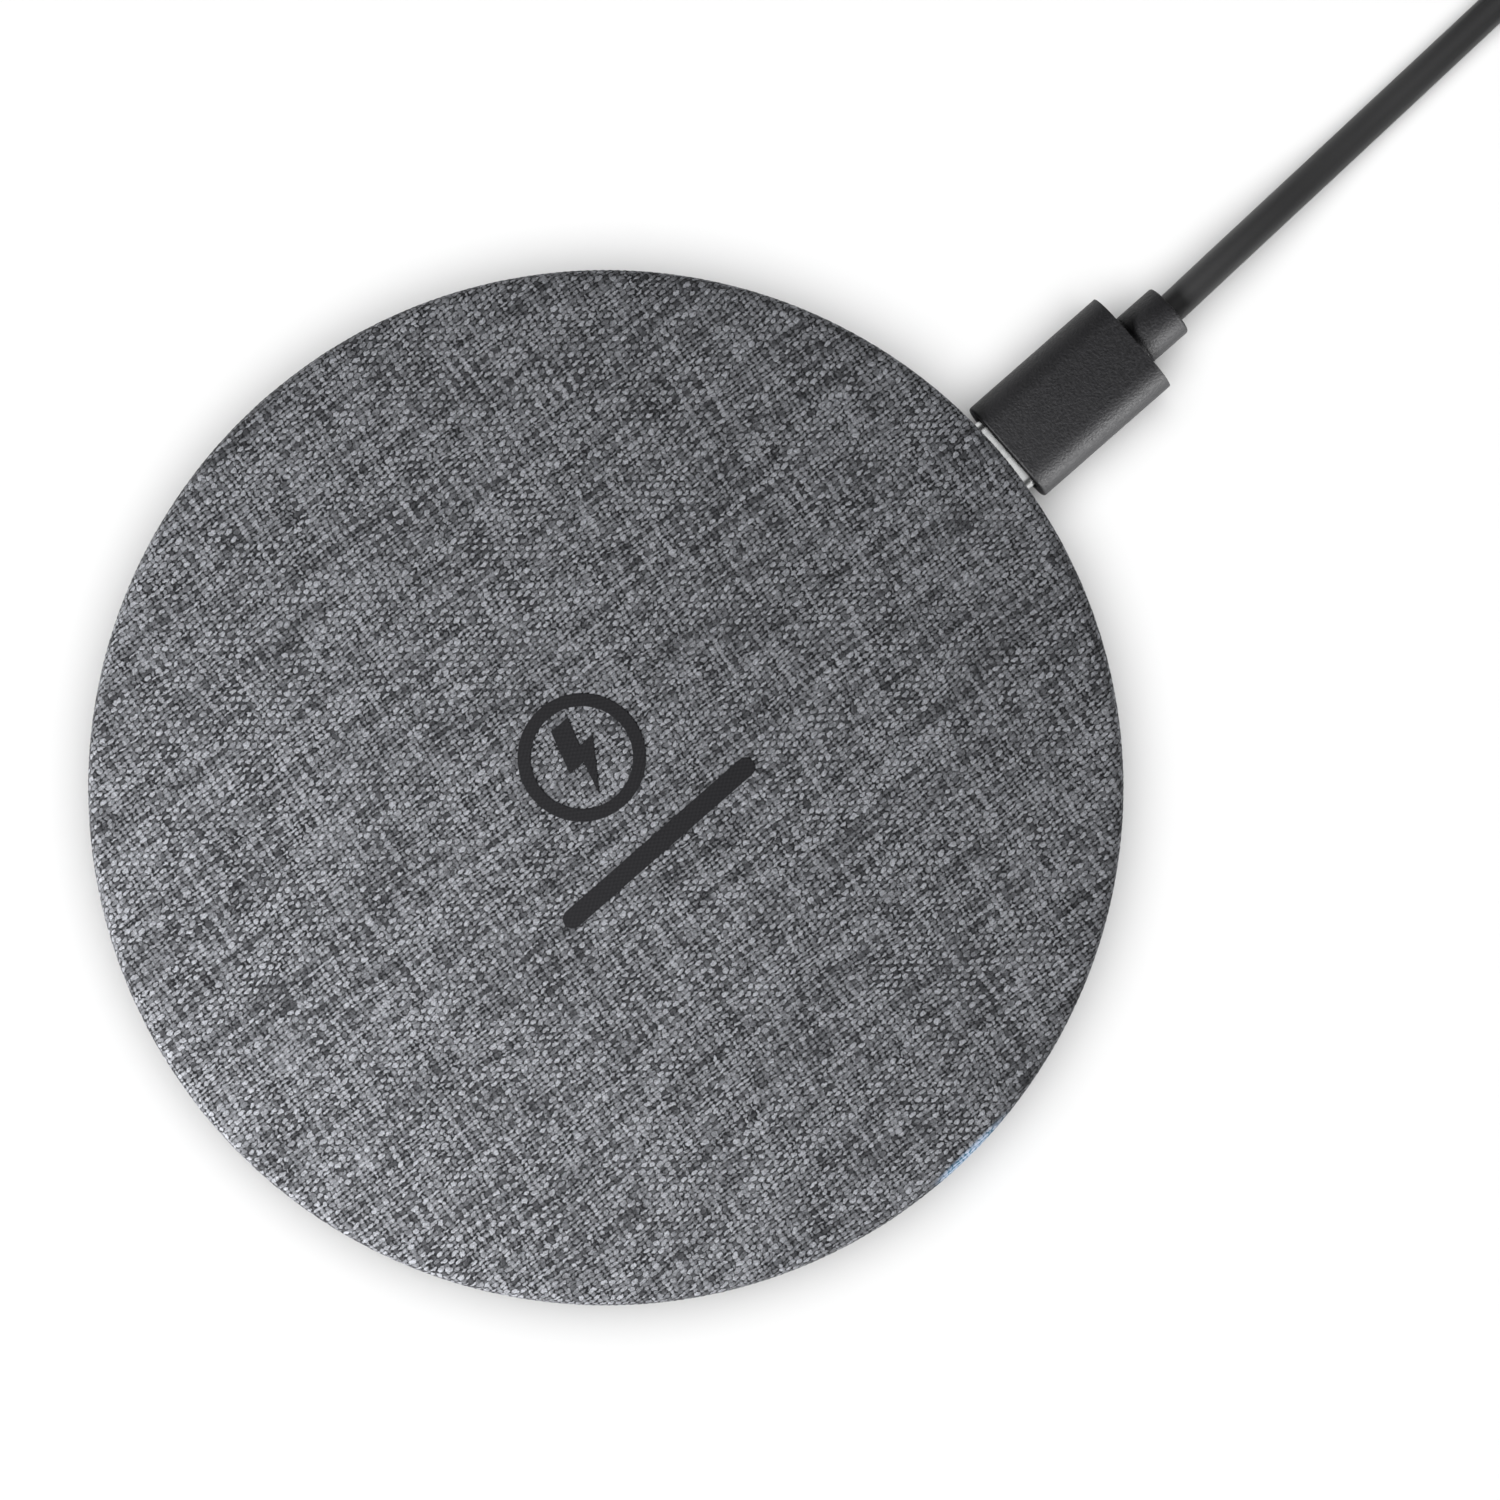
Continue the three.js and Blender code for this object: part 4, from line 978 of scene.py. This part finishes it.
def make_usb_c_plug():
    shell_low, shell_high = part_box("usb_c_plug_shell")
    shell_height = shell_high.z - shell_low.z
    drawn_shell("usb_c_shell", shell_low, shell_high, 0.2 * MM, shell_height / 2, -1, "usb_c_plug_shell")
    pocket = (8.85 * MM, 3.0 * MM, 1.5 * MM)
    body = moulded_body(
        "usb_c_body", plug_low, plug_high, pocket, 1.9 * MM, 2.9 * MM, -1, PLUG_PLASTIC, "usb_c_overmold",
    )
    sleeve = moulded_sleeve(
        "usb_c_sleeve", relief_low, relief_high, 1, PLUG_PLASTIC, "usb_c_strain_relief",
    )
    return [body, sleeve]


def make_usb_a_plug():
    low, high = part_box("usb_a_overmold")
    pocket = (12.6 * MM, 5.1 * MM, 0.5 * MM)
    body = moulded_body(
        "usb_a_body", low, high, pocket, 1.5 * MM, 2.9 * MM, -1, PLUG_PLASTIC, "usb_a_overmold",
    )
    low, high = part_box("usb_a_strain_relief")
    sleeve = moulded_sleeve("usb_a_sleeve", low, high, 1, PLUG_PLASTIC, "usb_a_strain_relief")
    return [body, sleeve]


plug_pieces = make_usb_c_plug() + make_usb_a_plug()


# ------------------------------------------------------------------ CAD nodes that stay

CAD_MATERIALS = {
    "mark_": MARK_FILM,
    "top_shell": SHELL_PLASTIC,
    "bottom_shell": SHELL_PLASTIC,
    "foot_ring": SILICONE,
    "light_pipe": LIGHT_GUIDE,
    "base_screw_": STEEL,
    "board_screw_": STEEL,
    "charging_coil": WOUND_COPPER,
    "coil_lead_": WOUND_COPPER,
    "coil_adhesive": TAPE,
    "ferrite_shield": FERRITE,
    "main_board": CIRCUIT_BOARD,
    "controller_chip": CHIP_RESIN,
    "power_stage_chip": CHIP_RESIN,
    "filter_inductor": FERRITE,
    "input_capacitor": CERAMIC,
    "resonant_capacitor_": CERAMIC,
    "thermistor": CHIP_RESIN,
    "indicator_led_": LED_BODY,
    "usb_c_receptacle_shell": PLATED_SHELL,
    "usb_c_receptacle_tongue": CONNECTOR_PLASTIC,
    "usb_c_plug_insert": CONNECTOR_PLASTIC,
    "cable_tie_": TIE_STRAP,
    "usb_a_shell": PLATED_SHELL,
    "usb_a_insert": CONNECTOR_PLASTIC,
    "usb_a_contact_": GOLD,
}


def finish_cad_node(node, material):
    """A better material, and round surfaces shaded as round. The mesh itself isn't touched."""
    assign(node, material)
    normals = node.data.attributes.get("custom_normal")
    if normals:
        node.data.attributes.remove(normals)
    node.data.polygons.foreach_set("use_smooth", [True] * len(node.data.polygons))
    weld = node.modifiers.new("weld", "WELD")
    weld.merge_threshold = 1e-6
    split = node.modifiers.new("crisp_edges", "EDGE_SPLIT")
    split.split_angle = math.radians(30)


for node_name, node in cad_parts.items():
    for start, material in CAD_MATERIALS.items():
        if node_name.startswith(start):
            finish_cad_node(node, material)


# ------------------------------------------------------------------ the cable's place in the model

cable.data.materials.append(CABLE_JACKET)
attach(cable, "cable")
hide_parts("cable_run", "cable_coil", "cable_tail")
cad_on_cable = ["cable_tie_1", "cable_tie_2", "usb_c_plug_insert", "usb_a_shell", "usb_a_insert"]
cad_on_cable += [f"usb_a_contact_{i}" for i in (1, 2, 3, 4)]


# ------------------------------------------------------------------ floor, world and lights


def make_floor():
    half = 3.0
    height = -0.03 * MM
    vertices = [(-half, -half, height), (half, -half, height), (half, half, height), (-half, half, height)]
    floor = add_mesh("floor", vertices, [(0, 1, 2, 3)])
    s = Shader("floor_pale")
    s.set(Base_Color=(0.6, 0.6, 0.6, 1), Roughness=0.9)
    s.principled.inputs["Specular IOR Level"].default_value = 0.1
    assign(floor, s.material)
    floor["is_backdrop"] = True
    return floor


def make_world(overhead, horizon):
    """White all round, dimmer overhead than near the horizon."""
    world = bpy.data.worlds.new("studio")
    bpy.context.scene.world = world
    world.use_nodes = True
    nodes, links = world.node_tree.nodes, world.node_tree.links
    direction = nodes.new("ShaderNodeTexCoord")
    height = nodes.new("ShaderNodeSeparateXYZ")
    fade = nodes.new("ShaderNodeMapRange")
    links.new(direction.outputs["Generated"], height.inputs[0])
    links.new(height.outputs["Z"], fade.inputs["Value"])
    for name, value in (("From Min", 0.05), ("From Max", 0.4), ("To Min", horizon), ("To Max", overhead)):
        fade.inputs[name].default_value = value
    nodes["Background"].inputs["Color"].default_value = (1, 1, 1, 1)
    links.new(fade.outputs[0], nodes["Background"].inputs["Strength"])


def make_panel(name, location, target, size, power, receivers):
    """A soft rectangular light that shines on one group of pieces."""
    data = bpy.data.lights.new(name, "AREA")
    data.shape = "RECTANGLE"
    data.size, data.size_y = size
    data.energy = power
    panel = bpy.data.objects.new(name, data)
    panel.location = location
    aim = Vector(target) - Vector(location)
    panel.rotation_mode = "QUATERNION"
    panel.rotation_quaternion = aim.to_track_quat("-Z", "Y")
    panel.visible_camera = False
    bpy.context.scene.collection.objects.link(panel)
    panel.light_linking.receiver_collection = receivers


def make_sky_disc(name, direction, across, strength, receivers):
    """An even light from a round patch of sky, as many degrees across as across says."""
    data = bpy.data.lights.new(name, "SUN")
    data.angle = math.radians(across)
    data.energy = strength
    disc = bpy.data.objects.new(name, data)
    disc.rotation_mode = "QUATERNION"
    disc.rotation_quaternion = direction.to_track_quat("Z", "Y")
    bpy.context.scene.collection.objects.link(disc)
    disc.light_linking.receiver_collection = receivers


SHELLS = ("usb_c_shell", "usb_a_shell", "usb_c_receptacle_shell")


def view_direction(degrees):
    """A direction on the floor, by its angle in the camera's view, anticlockwise from the right."""
    angle = math.radians(degrees) - CAMERA_TURN
    return Vector((math.cos(angle), math.sin(angle), 0))


def light_group(name, pieces):
    """The only pieces that a light shines on."""
    group = bpy.data.collections.new(name)
    for piece in pieces:
        group.objects.link(piece)
    return group


def make_lights(floor):
    floor_only = light_group("floor_only", [floor])
    model_only = light_group("model_only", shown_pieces())
    plugs_only = light_group("plugs_only", plug_pieces)
    cloth_only = light_group("cloth_only", [cloth])
    cable_only = light_group("cable_only", [cable])
    shells_only = light_group("shells_only", [bpy.data.objects[name] for name in SHELLS])
    make_world(overhead=0.06, horizon=0.7)
    make_sky_disc("floor_fill", view_direction(219) * 0.03 + Vector((0, 0, 1)), 80, 5.05, floor_only)
    make_panel("cable_fill", (0.1, 0, 0.3), (0.09, 0, 0), (0.3, 0.3), 0.15, cable_only)
    make_panel("shell_fill", (0.05, 0, 0.3), (0.05, 0, 0), (0.3, 0.3), 0.25, shells_only)
    left = view_direction(224) * 0.17 + Vector((0, 0, 0.14))
    make_panel("left_key", left, (0, 0, 0.005), (0.2, 0.08), 1.15, model_only)
    for name, degrees, power in (("rim_fill_top", 105, 0.34), ("rim_fill_right", 10, 0.4)):
        beyond = view_direction(degrees) * 0.3 + Vector((0, 0, 0.03))
        make_panel(name, beyond, (0, 0, 0.005), (0.5, 0.06), power, cloth_only)
    right = Vector((0.06, 0, 0)) + view_direction(-49) * 0.13 + Vector((0, 0, 0.035))
    make_panel("right_strip", right, (0.06, 0, 0.005), (0.12, 0.06), 0.3, plugs_only)


make_lights(make_floor())
bpy.context.scene.view_settings.view_transform = "Standard"
